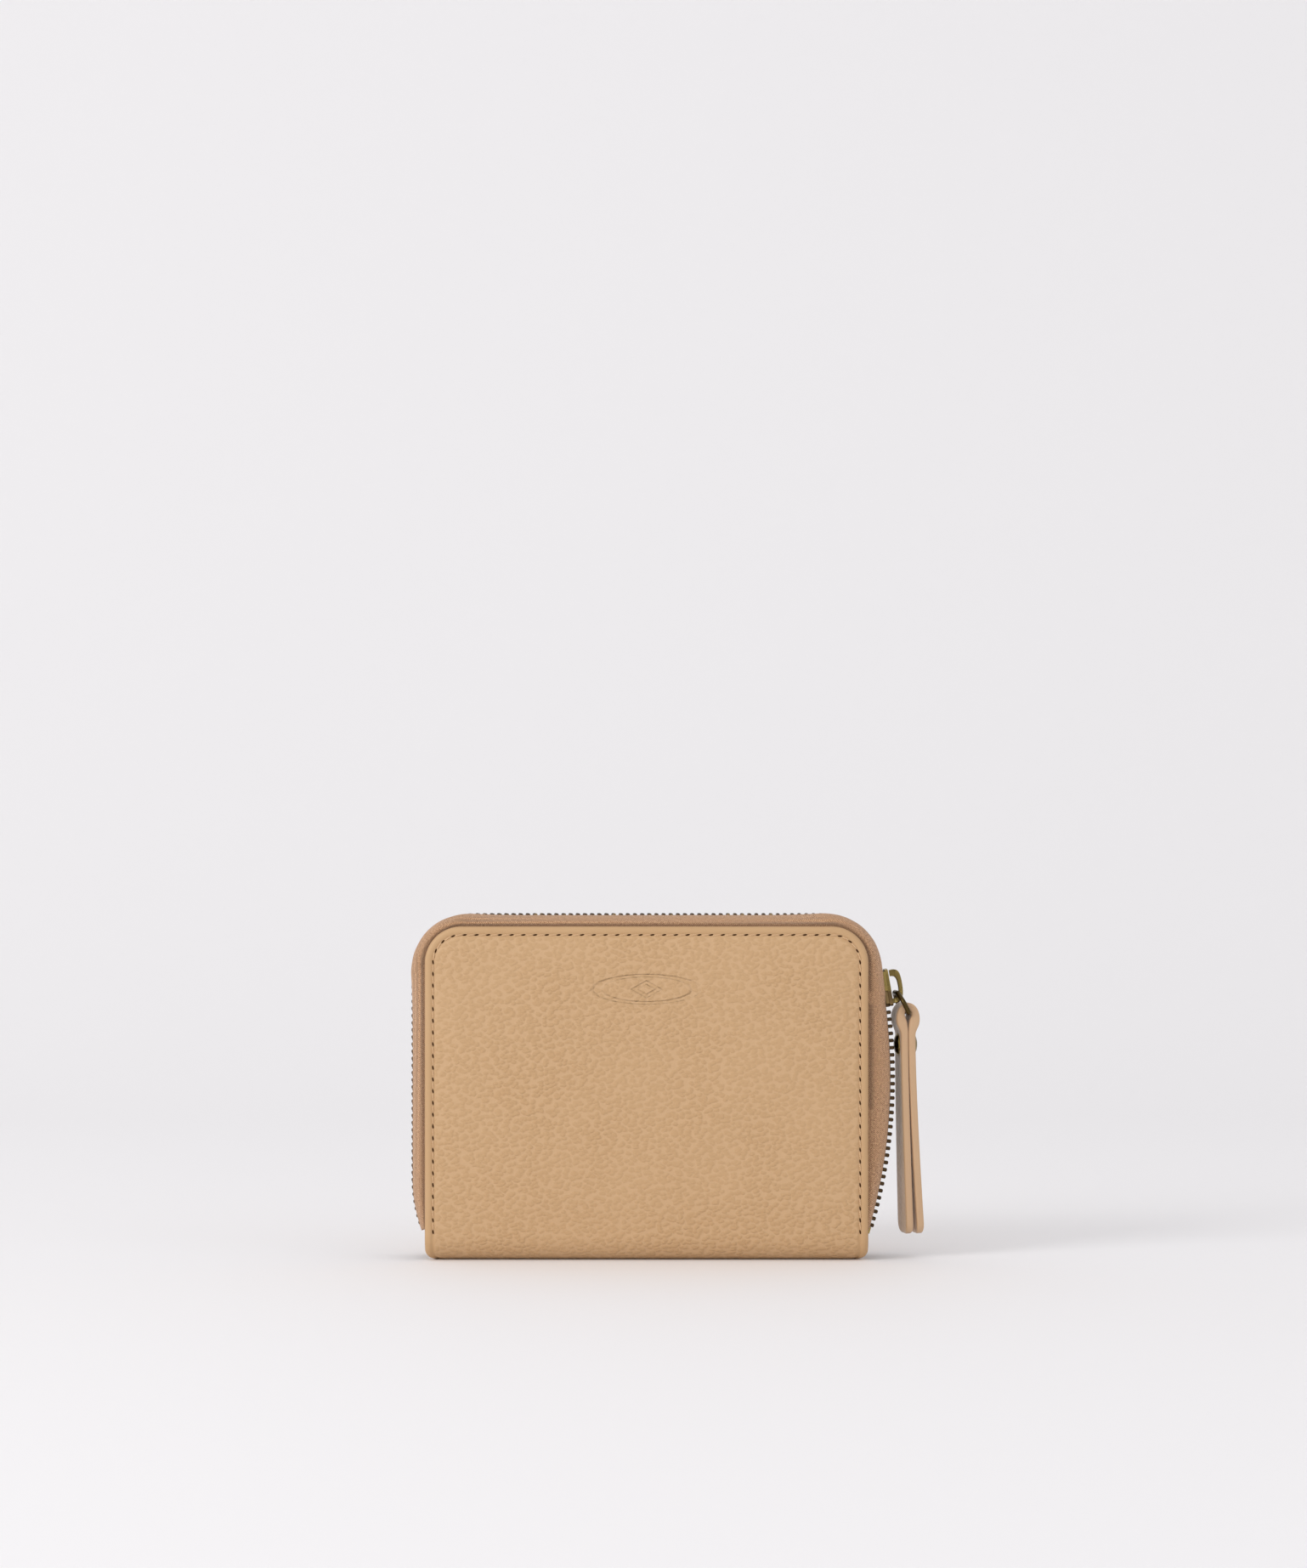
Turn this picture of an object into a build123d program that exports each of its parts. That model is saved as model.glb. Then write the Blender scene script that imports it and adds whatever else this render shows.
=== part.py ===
"""A zip-around wallet in grained leather that stands on its spine.

Frame: the origin is the centre of the spine's flat underside, +X runs along the spine,
-Y is the front cover's outer face and +Z is up. All sizes are in millimetres.
"""

import os
from math import asin, cos, degrees, radians, sin, sqrt

from build123d import *

# Covers and spine
PANEL_WIDTH = 121.5
PANEL_HEIGHT = 91.6
DEPTH = 22.0
BEND_RADIUS = 7.0  # outer radius of the leather where each cover turns into the spine
TOP_CORNER = 10.0
BOTTOM_CORNER = 2.0
FOLD_GAP = 0.3  # between the spine's leather and a cover's leather, at the fold
EDGE_SHARPENING = 1e-3

# Layers of one cover, from the outer face inwards
LEATHER = 1.4
TURNED_EDGE = 1.0
TURNED_EDGE_WIDTH = 4.5
PADDING = 0.8
PADDING_INSET = 4.8
TAPE = 0.5
TAPE_INSET = 5.0
BOARD = 0.7
BOARD_INSET = 5.3
LINING = 0.6
LINING_INSET = 1.8
LAYERS_FOOT = 8.5  # height at which the layers inside a cover end

# Seam
STITCH_INSET = 2.3
STITCH_PITCH = 3.2
STITCH_LENGTH = 2.3
STITCH_WIDTH = 0.6
STITCH_HEIGHT = 0.3
GROOVE_WIDTH = 0.8
GROOVE_DEPTH = 0.35
SEAM_FOOT = 8.0

# Run of the zip chain, on the middle of the tape's thickness
CHAIN_LEFT = -63.7
CHAIN_TOP = 93.8
CHAIN_RIGHT = 66.8
CHAIN_FOOT = 6.0
CHAIN_CORNER = 16.5
RIGHT_RUN_RADIUS = 147.0
RIGHT_RUN_HEIGHT = 50.0  # height of the right run's centre and so of its widest point
LEFT_END_RADIUS = 40.0
LEFT_END_START = 22.0
SKIRT_ROUND = 5.0
TAPE_FOOT = 8.0

# Teeth
TOOTH_PITCH = 1.97
TOOTH_THICKNESS = 0.86
TOOTH_ROOT = 2.3  # from the middle of the closed chain to the outer end of a tooth
TOOTH_NECK = 1.1
TOOTH_REACH = 0.35  # how far a head reaches past the middle of the closed chain
TOOTH_HEIGHT = 2.2
HEAD_HEIGHT = 1.4
JAW_END = 1.6
JAW_HEIGHT = 0.6
TAPE_EDGE = 1.7
OPEN_SHIFT = 1.25  # how far each row stands back where the zip is open
FIRST_TOOTH = 5.0  # along the chain, from its foot on the left
LAST_TOOTH = 3.6
STOP_SLOT = 0.8

# Slider
SLIDER_HEIGHT = 74.2
SLIDER_LENGTH = 10.2
SLIDER_WIDTH = 9.0
SLIDER_CORNER = 1.8
UPPER_PLATE = (1.35, 2.45)
LOWER_PLATE = (-2.35, -1.35)
FLANGE_INNER = 3.75
FLANGE_SLOT = 0.45
FLANGE_END = 0.8
POST_START = 2.5
POST_END = 4.6
POST_WIDTH = 1.3
BRIDGE_LENGTH = 8.8
BRIDGE_TOP = 5.85
BRIDGE_THICKNESS = 1.1
BRIDGE_WIDTH = 2.2

# Pull
SWIVEL = radians(7)  # how far the ring and strap are turned on the bridge
RING_WIRE = 0.65
RING_PLACE = (1.8, 3.8)  # along the slider and outwards from the chain
RING_LENGTH = 6.0
RING_TILT = radians(26)
RING_TOP = 5.2
RING_BOTTOM = 11.2
RING_SHOULDER = 2.6
STRAP_WIDTH = 9.0
STRAP = 2.0
STRAP_DROP = 61.5
RIVET_DROP = 9.2
RIVET_POST = 1.0
RIVET_CAP = 3.05
RIVET_DOME = 1.1

# Inside the covers
SLOT_LEATHER = 0.8
SLOT_WIDTH = 104.0
SLOT_TOPS = (66.0, 58.0, 50.0, 42.0)
POCKET_WIDTH = 100.0
POCKET_FOOT = 10.0
POCKET_TOP = 86.0
POCKET_WALL = 1.2
POCKET_LEAF = 0.9
POCKET_DEPTH = 3.1
LEAF_TOP = 71.5
FACING_FOOT = 80.5
COIN_ZIP_HEIGHT = 76.0
COIN_COIL = (0.55, 1.65)  # from the middle of the coin zip to the two sides of one coil
COIN_COIL_THICKNESS = 1.2
COIN_TAPE = 0.4
COIN_ZIP_LENGTH = 92.0
COIN_SLIDER_LENGTH = 6.0
COIN_SLIDER_WIDTH = 5.0
COIN_SLIDER_X = -41.0
COIN_PLATE = 0.7
COIN_POST = 0.8
COIN_PULL_LENGTH = 15.0
COIN_PULL_WIDTH = 4.0
COIN_PULL = 0.8

FRONT = -DEPTH / 2
SKIN_BACK = FRONT + LEATHER
BAND_BACK = SKIN_BACK + TURNED_EDGE
TAPE_BACK = BAND_BACK + TAPE
LINING_BACK = TAPE_BACK + LINING
FLAT = DEPTH - 2 * BEND_RADIUS
RUN_CENTRE_X = CHAIN_RIGHT - RIGHT_RUN_RADIUS


def front_plane(y):
    """The plane that faces the viewer at depth y; sketches on it are in X and Z."""
    return Plane.XZ.offset(-y)


def panel_outline(inset, foot=0.0):
    """Sketch of a cover seen from the front, set in from its edge, from height foot up."""
    with BuildSketch() as outline:
        with Locations((0, PANEL_HEIGHT / 2)):
            Rectangle(PANEL_WIDTH, PANEL_HEIGHT)
        fillet(outline.vertices().group_by(Axis.Y)[-1], TOP_CORNER)
        fillet(outline.vertices().group_by(Axis.Y)[0], BOTTOM_CORNER)
        if inset:
            offset(amount=-inset)
        if foot:
            with Locations((0, foot)):
                Rectangle(
                    PANEL_WIDTH,
                    PANEL_HEIGHT,
                    align=(Align.CENTER, Align.MAX),
                    mode=Mode.SUBTRACT,
                )
    return outline.sketch


def cover_layer(inset, outer, inner, foot=LAYERS_FOOT):
    """A flat layer of the front cover between two depths."""
    with BuildPart() as layer:
        with BuildSketch(front_plane(inner)):
            add(panel_outline(inset, foot))
        extrude(amount=inner - outer)
    return layer.part


def mirrored(part, label):
    """The back cover's copy of a piece of the front cover."""
    with BuildPart() as copy:
        mirror(part, about=Plane.XZ)
    copy.part.label = label
    return copy.part


def write(part, label):
    part.label = label
    export_step(part, f"parts/{label}.step")


os.makedirs("parts", exist_ok=True)

# Outer leather: one strip over front, spine and back, cut at the middle of each bend so
# that each cover can turn.
with BuildPart() as leather_strip:
    with BuildSketch(Plane.YZ):
        with Locations((0, PANEL_HEIGHT / 2)):
            Rectangle(DEPTH, PANEL_HEIGHT)
        fillet(vertices().group_by(Axis.Y)[0], BEND_RADIUS)
    extrude(amount=PANEL_WIDTH / 2, both=True)
    with BuildSketch(Plane.YZ):
        with Locations((0, LEATHER)):
            Rectangle(DEPTH - 2 * LEATHER, PANEL_HEIGHT, align=(Align.CENTER, Align.MIN))
        fillet(vertices().group_by(Axis.Y)[0], BEND_RADIUS - LEATHER)
    extrude(amount=PANEL_WIDTH, both=True, mode=Mode.SUBTRACT)
    with BuildSketch(Plane.XZ):
        add(panel_outline(0))
    extrude(amount=DEPTH, both=True, mode=Mode.INTERSECT)

front_fold = Plane(origin=(0, -FLAT / 2, BEND_RADIUS), z_dir=(0, -1, 1))
back_fold = Plane(origin=(0, FLAT / 2, BEND_RADIUS), z_dir=(0, 1, 1))

with BuildPart() as front_leather:
    add(leather_strip.part)
    split(bisect_by=Plane.XZ, keep=Keep.TOP)
    split(bisect_by=front_fold.offset(FOLD_GAP / 2), keep=Keep.TOP)
    # The turned edge doubles the leather along the border.
    add(cover_layer(0, SKIN_BACK, BAND_BACK))
    with BuildSketch(front_plane(BAND_BACK)):
        add(panel_outline(TURNED_EDGE_WIDTH))
    extrude(amount=TURNED_EDGE, mode=Mode.SUBTRACT)
    # The groove that the seam is pulled into.
    with BuildSketch(front_plane(FRONT + GROOVE_DEPTH)):
        add(panel_outline(STITCH_INSET - GROOVE_WIDTH / 2, SEAM_FOOT))
        add(panel_outline(STITCH_INSET + GROOVE_WIDTH / 2), mode=Mode.SUBTRACT)
    extrude(amount=GROOVE_DEPTH, mode=Mode.SUBTRACT)
write(front_leather.part, "front_leather")
write(mirrored(front_leather.part, "back_leather"), "back_leather")

with BuildPart() as spine_leather:
    add(leather_strip.part)
    split(bisect_by=front_fold.offset(-FOLD_GAP / 2), keep=Keep.BOTTOM)
    split(bisect_by=back_fold.offset(-FOLD_GAP / 2), keep=Keep.BOTTOM)
write(spine_leather.part, "spine_leather")

with BuildPart() as spine_board:
    with Locations((0, 0, LEATHER)):
        Box(
            PANEL_WIDTH - 2 * BOARD_INSET,
            FLAT,
            1.0,
            align=(Align.CENTER, Align.CENTER, Align.MIN),
        )
    fillet(spine_board.edges().filter_by(Axis.Z), 1.0)
write(spine_board.part, "spine_board")

with BuildPart() as spine_lining:
    with Locations((0, 0, LEATHER + 1.0)):
        Box(
            PANEL_WIDTH - 2 * LINING_INSET,
            FLAT + 1.0,
            LINING,
            align=(Align.CENTER, Align.CENTER, Align.MIN),
        )
write(spine_lining.part, "spine_lining")

# Flat layers inside each cover.
front_layers = {
    "padding": cover_layer(PADDING_INSET, SKIN_BACK, SKIN_BACK + PADDING),
    "board": cover_layer(BOARD_INSET, TAPE_BACK - BOARD, TAPE_BACK),
}
for name, layer in front_layers.items():
    write(layer, f"front_{name}")
    write(mirrored(layer, f"back_{name}"), f"back_{name}")

# Stitching: one lock stitch after another along the groove, up, across and down.
seam_corner = TOP_CORNER - STITCH_INSET
seam_side = PANEL_WIDTH / 2 - STITCH_INSET
with BuildLine(front_plane(FRONT + GROOVE_DEPTH)) as seam:
    FilletPolyline(
        (-seam_side, SEAM_FOOT),
        (-seam_side, PANEL_HEIGHT - STITCH_INSET),
        (seam_side, PANEL_HEIGHT - STITCH_INSET),
        (seam_side, SEAM_FOOT),
        radius=seam_corner,
    )
seam_wire = seam.wire()
stitch_count = int(seam_wire.length / STITCH_PITCH)


def along_front(wire, share):
    """Plane on a wire in the front view: X along it, Y away from the viewer, Z outwards."""
    heading = wire.tangent_at(share)
    return Plane(wire.position_at(share), x_dir=heading, z_dir=heading.cross(Vector(0, 1, 0)))


stitch_planes = [
    along_front(seam_wire, (i + 0.5) / stitch_count) for i in range(stitch_count)
]
with BuildPart() as front_stitching:
    with Locations(*stitch_planes):
        Box(
            STITCH_LENGTH,
            STITCH_HEIGHT,
            STITCH_WIDTH,
            align=(Align.CENTER, Align.MAX, Align.CENTER),
        )
write(front_stitching.part, "front_stitching")
write(mirrored(front_stitching.part, "back_stitching"), "back_stitching")

# Run of the zip chain: up the left side, over the top and down the bowed right side.
corner_height = CHAIN_TOP - CHAIN_CORNER
left_corner_x = CHAIN_LEFT + CHAIN_CORNER
right_rise = corner_height - RIGHT_RUN_HEIGHT
right_reach = RIGHT_RUN_RADIUS - CHAIN_CORNER
right_corner_x = RUN_CENTRE_X + sqrt(right_reach**2 - right_rise**2)
right_turn = degrees(asin(right_rise / right_reach))
right_foot_turn = degrees(asin((CHAIN_FOOT - RIGHT_RUN_HEIGHT) / RIGHT_RUN_RADIUS))
left_foot_turn = degrees(asin((LEFT_END_START - CHAIN_FOOT) / LEFT_END_RADIUS))

with BuildLine() as run:
    CenterArc(
        (CHAIN_LEFT + LEFT_END_RADIUS, LEFT_END_START),
        LEFT_END_RADIUS,
        180 + left_foot_turn,
        -left_foot_turn,
    )
    Line((CHAIN_LEFT, LEFT_END_START), (CHAIN_LEFT, corner_height))
    CenterArc((left_corner_x, corner_height), CHAIN_CORNER, 180, -90)
    Line((left_corner_x, CHAIN_TOP), (right_corner_x, CHAIN_TOP))
    CenterArc((right_corner_x, corner_height), CHAIN_CORNER, 90, right_turn - 90)
    CenterArc(
        (RUN_CENTRE_X, RIGHT_RUN_HEIGHT),
        RIGHT_RUN_RADIUS,
        right_turn,
        right_foot_turn - right_turn,
    )
chain_wire = run.wire().rotate(Axis.X, 90)


def skirt(widening, front, rounding):
    """Solid inside the zip's run, widened or narrowed, with a rounded front edge."""
    with BuildPart() as solid:
        with BuildSketch(front_plane(0)):
            with BuildLine():
                add(run.line)
                Line(run.wire() @ 1, run.wire() @ 0)
            make_face()
            offset(amount=widening, kind=Kind.INTERSECTION)
        extrude(amount=-front)
        fillet(solid.faces().sort_by(Axis.Y)[0].edges(), rounding)
    return solid.part


# Zip tape: sewn between the leather and the lining, then turned over to meet the other one.
# Below the middle of the slider the two rows stand apart.
slider_turn = asin((SLIDER_HEIGHT - RIGHT_RUN_HEIGHT) / RIGHT_RUN_RADIUS)
slider_station = chain_wire.length - RIGHT_RUN_RADIUS * (slider_turn - radians(right_foot_turn))
slider_plane = along_front(chain_wire, slider_station / chain_wire.length)

with BuildPart() as front_zip_tape:
    add(skirt(TAPE / 2, BAND_BACK, SKIRT_ROUND))
    add(skirt(-TAPE / 2, TAPE_BACK, SKIRT_ROUND - TAPE), mode=Mode.SUBTRACT)
    with BuildSketch(front_plane(0)):
        add(panel_outline(TAPE_INSET))
    extrude(amount=DEPTH, mode=Mode.SUBTRACT)
    split(bisect_by=Plane.XZ.offset(TAPE_EDGE), keep=Keep.TOP)
    split(bisect_by=Plane.XY.offset(TAPE_FOOT), keep=Keep.TOP)
    opening_start = slider_plane.origin - slider_plane.x_dir * 0.5
    with Locations(
        Plane(opening_start, x_dir=slider_plane.x_dir, z_dir=slider_plane.z_dir)
    ):
        Box(
            90,
            2 * (TAPE_EDGE + OPEN_SHIFT),
            60,
            align=(Align.MIN, Align.CENTER, Align.CENTER),
            mode=Mode.SUBTRACT,
        )
write(front_zip_tape.part, "front_zip_tape")
write(mirrored(front_zip_tape.part, "back_zip_tape"), "back_zip_tape")

# The lining covers the board and the sewn edge of the tape, and stays inside the tape's turn.
with BuildPart() as front_lining:
    add(cover_layer(LINING_INSET, TAPE_BACK, LINING_BACK))
    add(skirt(-TAPE / 2 - 0.25, TAPE_BACK, SKIRT_ROUND - TAPE), mode=Mode.INTERSECT)
write(front_lining.part, "front_lining")
write(mirrored(front_lining.part, "back_lining"), "back_lining")

# Teeth: each one is clamped over the edge of its tape; its narrow head meshes with the
# heads of the other row.
with BuildPart() as tooth:
    with BuildSketch(Plane.YZ):
        with Locations((-(TOOTH_ROOT + TOOTH_NECK) / 2, 0)):
            Rectangle(TOOTH_ROOT - TOOTH_NECK, TOOTH_HEIGHT)
        with Locations((-(TOOTH_NECK - TOOTH_REACH) / 2, 0)):
            Rectangle(TOOTH_NECK + TOOTH_REACH, HEAD_HEIGHT)
        with Locations((-(TOOTH_ROOT + JAW_END) / 2, 0)):
            Rectangle(TOOTH_ROOT - JAW_END, JAW_HEIGHT, mode=Mode.SUBTRACT)
    extrude(amount=TOOTH_THICKNESS / 2, both=True)


def tooth_places(start):
    """Planes of one row of teeth, the first of them start millimetres along the chain."""
    places = []
    count = int((chain_wire.length - LAST_TOOTH - start) / TOOTH_PITCH)
    for i in range(count + 1):
        station = start + i * TOOTH_PITCH
        place = along_front(chain_wire, station / chain_wire.length)
        if station > slider_station:
            place = place.move(Location((0, -OPEN_SHIFT, 0)))
        places.append(place)
    return places


with BuildPart() as front_zip_teeth:
    with Locations(*tooth_places(FIRST_TOOTH)):
        add(tooth.part)
write(front_zip_teeth.part, "front_zip_teeth")

with BuildPart() as second_row:
    with Locations(*tooth_places(FIRST_TOOTH + TOOTH_PITCH / 2)):
        add(tooth.part)
write(mirrored(second_row.part, "back_zip_teeth"), "back_zip_teeth")

# Stops: one clamp per tape where the zip closes, and a bar where it opens. The bar is clamped
# on the back tape and reaches across to the front one.
end_station = chain_wire.length - 2.0
end_plane = along_front(chain_wire, end_station / chain_wire.length)
with BuildPart() as front_top_stop:
    with Locations(end_plane.move(Location((0, -OPEN_SHIFT, 0)))):
        with Locations((0, -1.55, 0)):
            Box(1.8, 1.5, 1.9)
        with Locations((0, -2.1, 0)):
            Box(1.8, 1.1, STOP_SLOT, mode=Mode.SUBTRACT)
write(front_top_stop.part, "front_top_stop")
write(mirrored(front_top_stop.part, "back_top_stop"), "back_top_stop")

with BuildPart() as bottom_stop:
    with Locations(along_front(chain_wire, 3.2 / chain_wire.length)):
        with Locations((0, 0.5, 0)):
            Box(1.8, 3.6, 1.9)
        Box(1.8, 5.0, STOP_SLOT, mode=Mode.SUBTRACT)
        Box(1.8, 2.4, 1.9)
write(bottom_stop.part, "bottom_stop")

# Slider: two plates joined by a post, with flanges that hold the rows and a bridge on top.
with BuildPart() as slider_body:
    with BuildSketch(slider_plane.offset(UPPER_PLATE[0])):
        RectangleRounded(SLIDER_LENGTH, SLIDER_WIDTH, SLIDER_CORNER)
    extrude(amount=UPPER_PLATE[1] - UPPER_PLATE[0])
    fillet(slider_body.faces().sort_by(Axis(slider_plane.origin, slider_plane.z_dir))[-1].edges(), 0.4)
    with BuildSketch(slider_plane.offset(LOWER_PLATE[0])):
        RectangleRounded(SLIDER_LENGTH, SLIDER_WIDTH, SLIDER_CORNER)
    extrude(amount=LOWER_PLATE[1] - LOWER_PLATE[0])
    with Locations(slider_plane):
        for side in (-1, 1):
            across = side * (FLANGE_INNER + SLIDER_WIDTH / 2) / 2
            for low, high in ((FLANGE_SLOT, UPPER_PLATE[0] + 0.1), (LOWER_PLATE[1] - 0.1, -FLANGE_SLOT)):
                with Locations((0, across, (low + high) / 2)):
                    Box(
                        SLIDER_LENGTH - 2 * SLIDER_CORNER,
                        SLIDER_WIDTH / 2 - FLANGE_INNER,
                        high - low,
                    )
        with Locations(((POST_START + POST_END) / 2, 0, 0)):
            Box(POST_END - POST_START, POST_WIDTH, UPPER_PLATE[1] - LOWER_PLATE[0] - 1)
    bridge_plane = Plane(
        slider_plane.origin, x_dir=slider_plane.x_dir, z_dir=-slider_plane.y_dir
    )
    with BuildSketch(bridge_plane):
        with BuildLine():
            FilletPolyline(
                (-BRIDGE_LENGTH / 2, UPPER_PLATE[1] - 0.5),
                (-BRIDGE_LENGTH / 2, BRIDGE_TOP),
                (BRIDGE_LENGTH / 2, BRIDGE_TOP),
                (BRIDGE_LENGTH / 2, UPPER_PLATE[1] - 0.5),
                radius=2.4,
            )
            Line(
                (BRIDGE_LENGTH / 2, UPPER_PLATE[1] - 0.5),
                (-BRIDGE_LENGTH / 2, UPPER_PLATE[1] - 0.5),
            )
        make_face()
        bridge_inner = BRIDGE_LENGTH / 2 - BRIDGE_THICKNESS
        with BuildLine():
            FilletPolyline(
                (-bridge_inner, UPPER_PLATE[1] + EDGE_SHARPENING),
                (-bridge_inner, BRIDGE_TOP - BRIDGE_THICKNESS),
                (bridge_inner, BRIDGE_TOP - BRIDGE_THICKNESS),
                (bridge_inner, UPPER_PLATE[1] + EDGE_SHARPENING),
                radius=1.3,
            )
            Line(
                (bridge_inner, UPPER_PLATE[1] + EDGE_SHARPENING),
                (-bridge_inner, UPPER_PLATE[1] + EDGE_SHARPENING),
            )
        make_face(mode=Mode.SUBTRACT)
    extrude(amount=BRIDGE_WIDTH / 2, both=True)
write(slider_body.part, "slider_body")

# Pull: a wire ring through the bridge carries a folded leather strap.
ring_origin = slider_plane.from_local_coords(Vector(RING_PLACE[0], 0, RING_PLACE[1]))
outward = Vector(cos(SWIVEL), sin(SWIVEL), 0)
across_pull = Vector(-sin(SWIVEL), cos(SWIVEL), 0)
ring_down = outward * sin(RING_TILT) - Vector(0, 0, cos(RING_TILT))
bar_origin = ring_origin + ring_down * RING_LENGTH
ring_plane = Plane(ring_origin, x_dir=across_pull, z_dir=across_pull.cross(-ring_down))

with BuildPart() as pull_link:
    with BuildLine(ring_plane) as ring_path:
        FilletPolyline(
            (RING_TOP / 2, 0),
            (RING_BOTTOM / 2, -RING_SHOULDER),
            (RING_BOTTOM / 2, -RING_LENGTH),
            (-RING_BOTTOM / 2, -RING_LENGTH),
            (-RING_BOTTOM / 2, -RING_SHOULDER),
            (-RING_TOP / 2, 0),
            radius=0.8,
            close=True,
        )
    ring_wire = ring_path.wire()
    with BuildSketch(Plane(ring_wire @ 0.02, z_dir=ring_wire % 0.02)):
        Circle(RING_WIRE)
    sweep(path=ring_wire)
write(pull_link.part, "pull_link")

strap_plane = Plane(bar_origin, x_dir=outward, z_dir=-across_pull)
ply = STRAP
eye = RING_WIRE + 0.1
with BuildPart() as strap_leather:
    with BuildSketch(strap_plane):
        with BuildLine():
            CenterArc((0, 0), eye + ply, 0, 180)
            Polyline(
                (-eye - ply, 0),
                (-ply, -RIVET_DROP + 3.2),
                (-ply, -RIVET_DROP - 3.2),
                (-ply - 0.5, -STRAP_DROP),
                (-0.5, -STRAP_DROP),
                (0, -RIVET_DROP - 3.2),
                (0.5, -STRAP_DROP),
                (ply + 0.5, -STRAP_DROP),
                (ply, -RIVET_DROP - 3.2),
                (ply, -RIVET_DROP + 3.2),
                (eye + ply, 0),
            )
        make_face()
        with BuildLine():
            CenterArc((0, 0), eye, 0, 180)
            Polyline((-eye, 0), (0, -RIVET_DROP + 3.2), (eye, 0))
        make_face(mode=Mode.SUBTRACT)
    extrude(amount=STRAP_WIDTH / 2, both=True)
    with BuildSketch(Plane(bar_origin, x_dir=across_pull, z_dir=outward)):
        with Locations((0, -RIVET_DROP)):
            Circle(RIVET_POST + 0.02)
    extrude(amount=2 * ply, both=True, mode=Mode.SUBTRACT)
    tips = strap_leather.edges().filter_by(Axis(bar_origin, outward)).group_by(Axis.Z)[0]
    fillet(tips, 1.6)
write(strap_leather.part, "strap_leather")

rivet_plane = Plane(
    bar_origin - Vector(0, 0, RIVET_DROP), x_dir=across_pull, z_dir=outward
)


def rivet_cap(side):
    """Thin domed cap that sits on one face of the strap."""
    with BuildPart() as cap:
        with BuildSketch(rivet_plane.offset(side * (ply + 0.02))):
            Circle(RIVET_CAP)
        extrude(amount=side * RIVET_DOME)
        rim = cap.faces().sort_by(Axis(rivet_plane.origin, rivet_plane.z_dir * side))[-1]
        fillet(rim.edges(), RIVET_DOME - 0.2)
    return cap.part


with BuildPart() as rivet_front:
    add(rivet_cap(-1))
    with BuildSketch(rivet_plane.offset(-ply - 0.5)):
        Circle(RIVET_POST)
    extrude(amount=2 * ply + 0.4)
write(rivet_front.part, "rivet_cap")
write(rivet_cap(1), "rivet_back")

# Card slots: four panels, each lower and nearer the middle than the one before.
for i, top in enumerate(SLOT_TOPS):
    with BuildPart() as card_slot:
        inner = LINING_BACK + (i + 1) * SLOT_LEATHER
        with BuildSketch(front_plane(inner)):
            with Locations((0, (top + POCKET_FOOT) / 2)):
                RectangleRounded(SLOT_WIDTH, top - POCKET_FOOT, 2.0)
            with Locations((0, top)):
                SlotOverall(18, 8, mode=Mode.SUBTRACT)
        extrude(amount=SLOT_LEATHER)
    write(card_slot.part, f"card_slot_{i + 1}")

# Coin pocket inside the back cover: four walls, a facing strip over the zip and a leaf
# under it.
pocket_back = -LINING_BACK
pocket_front = pocket_back - POCKET_DEPTH
leaf_front = pocket_front - POCKET_LEAF


def pocket_outline(foot, top, inset=0.0):
    with BuildSketch() as outline:
        with Locations((0, (POCKET_FOOT + POCKET_TOP) / 2)):
            RectangleRounded(
                POCKET_WIDTH - 2 * inset, POCKET_TOP - POCKET_FOOT - 2 * inset, 3.0
            )
        with Locations((0, (foot + top) / 2)):
            Rectangle(POCKET_WIDTH, top - foot, mode=Mode.INTERSECT)
    return outline.sketch


with BuildPart() as coin_pocket_walls:
    with BuildSketch(front_plane(pocket_back)):
        add(pocket_outline(POCKET_FOOT, POCKET_TOP))
        add(pocket_outline(POCKET_FOOT, POCKET_TOP, POCKET_WALL), mode=Mode.SUBTRACT)
    extrude(amount=POCKET_DEPTH)
write(coin_pocket_walls.part, "coin_pocket_walls")

for label, foot, top in (
    ("coin_pocket_leaf", POCKET_FOOT, LEAF_TOP),
    ("coin_pocket_facing", FACING_FOOT, POCKET_TOP),
):
    with BuildPart() as panel:
        with BuildSketch(front_plane(pocket_front)):
            add(pocket_outline(foot, top))
        extrude(amount=POCKET_LEAF)
    write(panel.part, label)

# Coin zip: two tapes behind the leather edges, each with a coil along its edge.
for side, word in ((1, "upper"), (-1, "lower")):
    with BuildPart() as coin_tape:
        near = COIN_ZIP_HEIGHT + side * 0.8
        far = COIN_ZIP_HEIGHT + side * 6.8
        with Locations((0, pocket_front + COIN_TAPE / 2, (near + far) / 2)):
            Box(POCKET_WIDTH - 2 * POCKET_WALL - 0.4, COIN_TAPE, abs(far - near))
    write(coin_tape.part, f"coin_zip_tape_{word}")
    with BuildPart() as coin_coil:
        middle = COIN_ZIP_HEIGHT + side * (COIN_COIL[0] + COIN_COIL[1]) / 2
        with BuildSketch(Plane.YZ):
            with Locations((pocket_front - COIN_COIL_THICKNESS / 2, middle)):
                Ellipse(COIN_COIL_THICKNESS / 2, (COIN_COIL[1] - COIN_COIL[0]) / 2)
        extrude(amount=COIN_ZIP_LENGTH / 2, both=True)
    write(coin_coil.part, f"coin_zip_coil_{word}")

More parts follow.
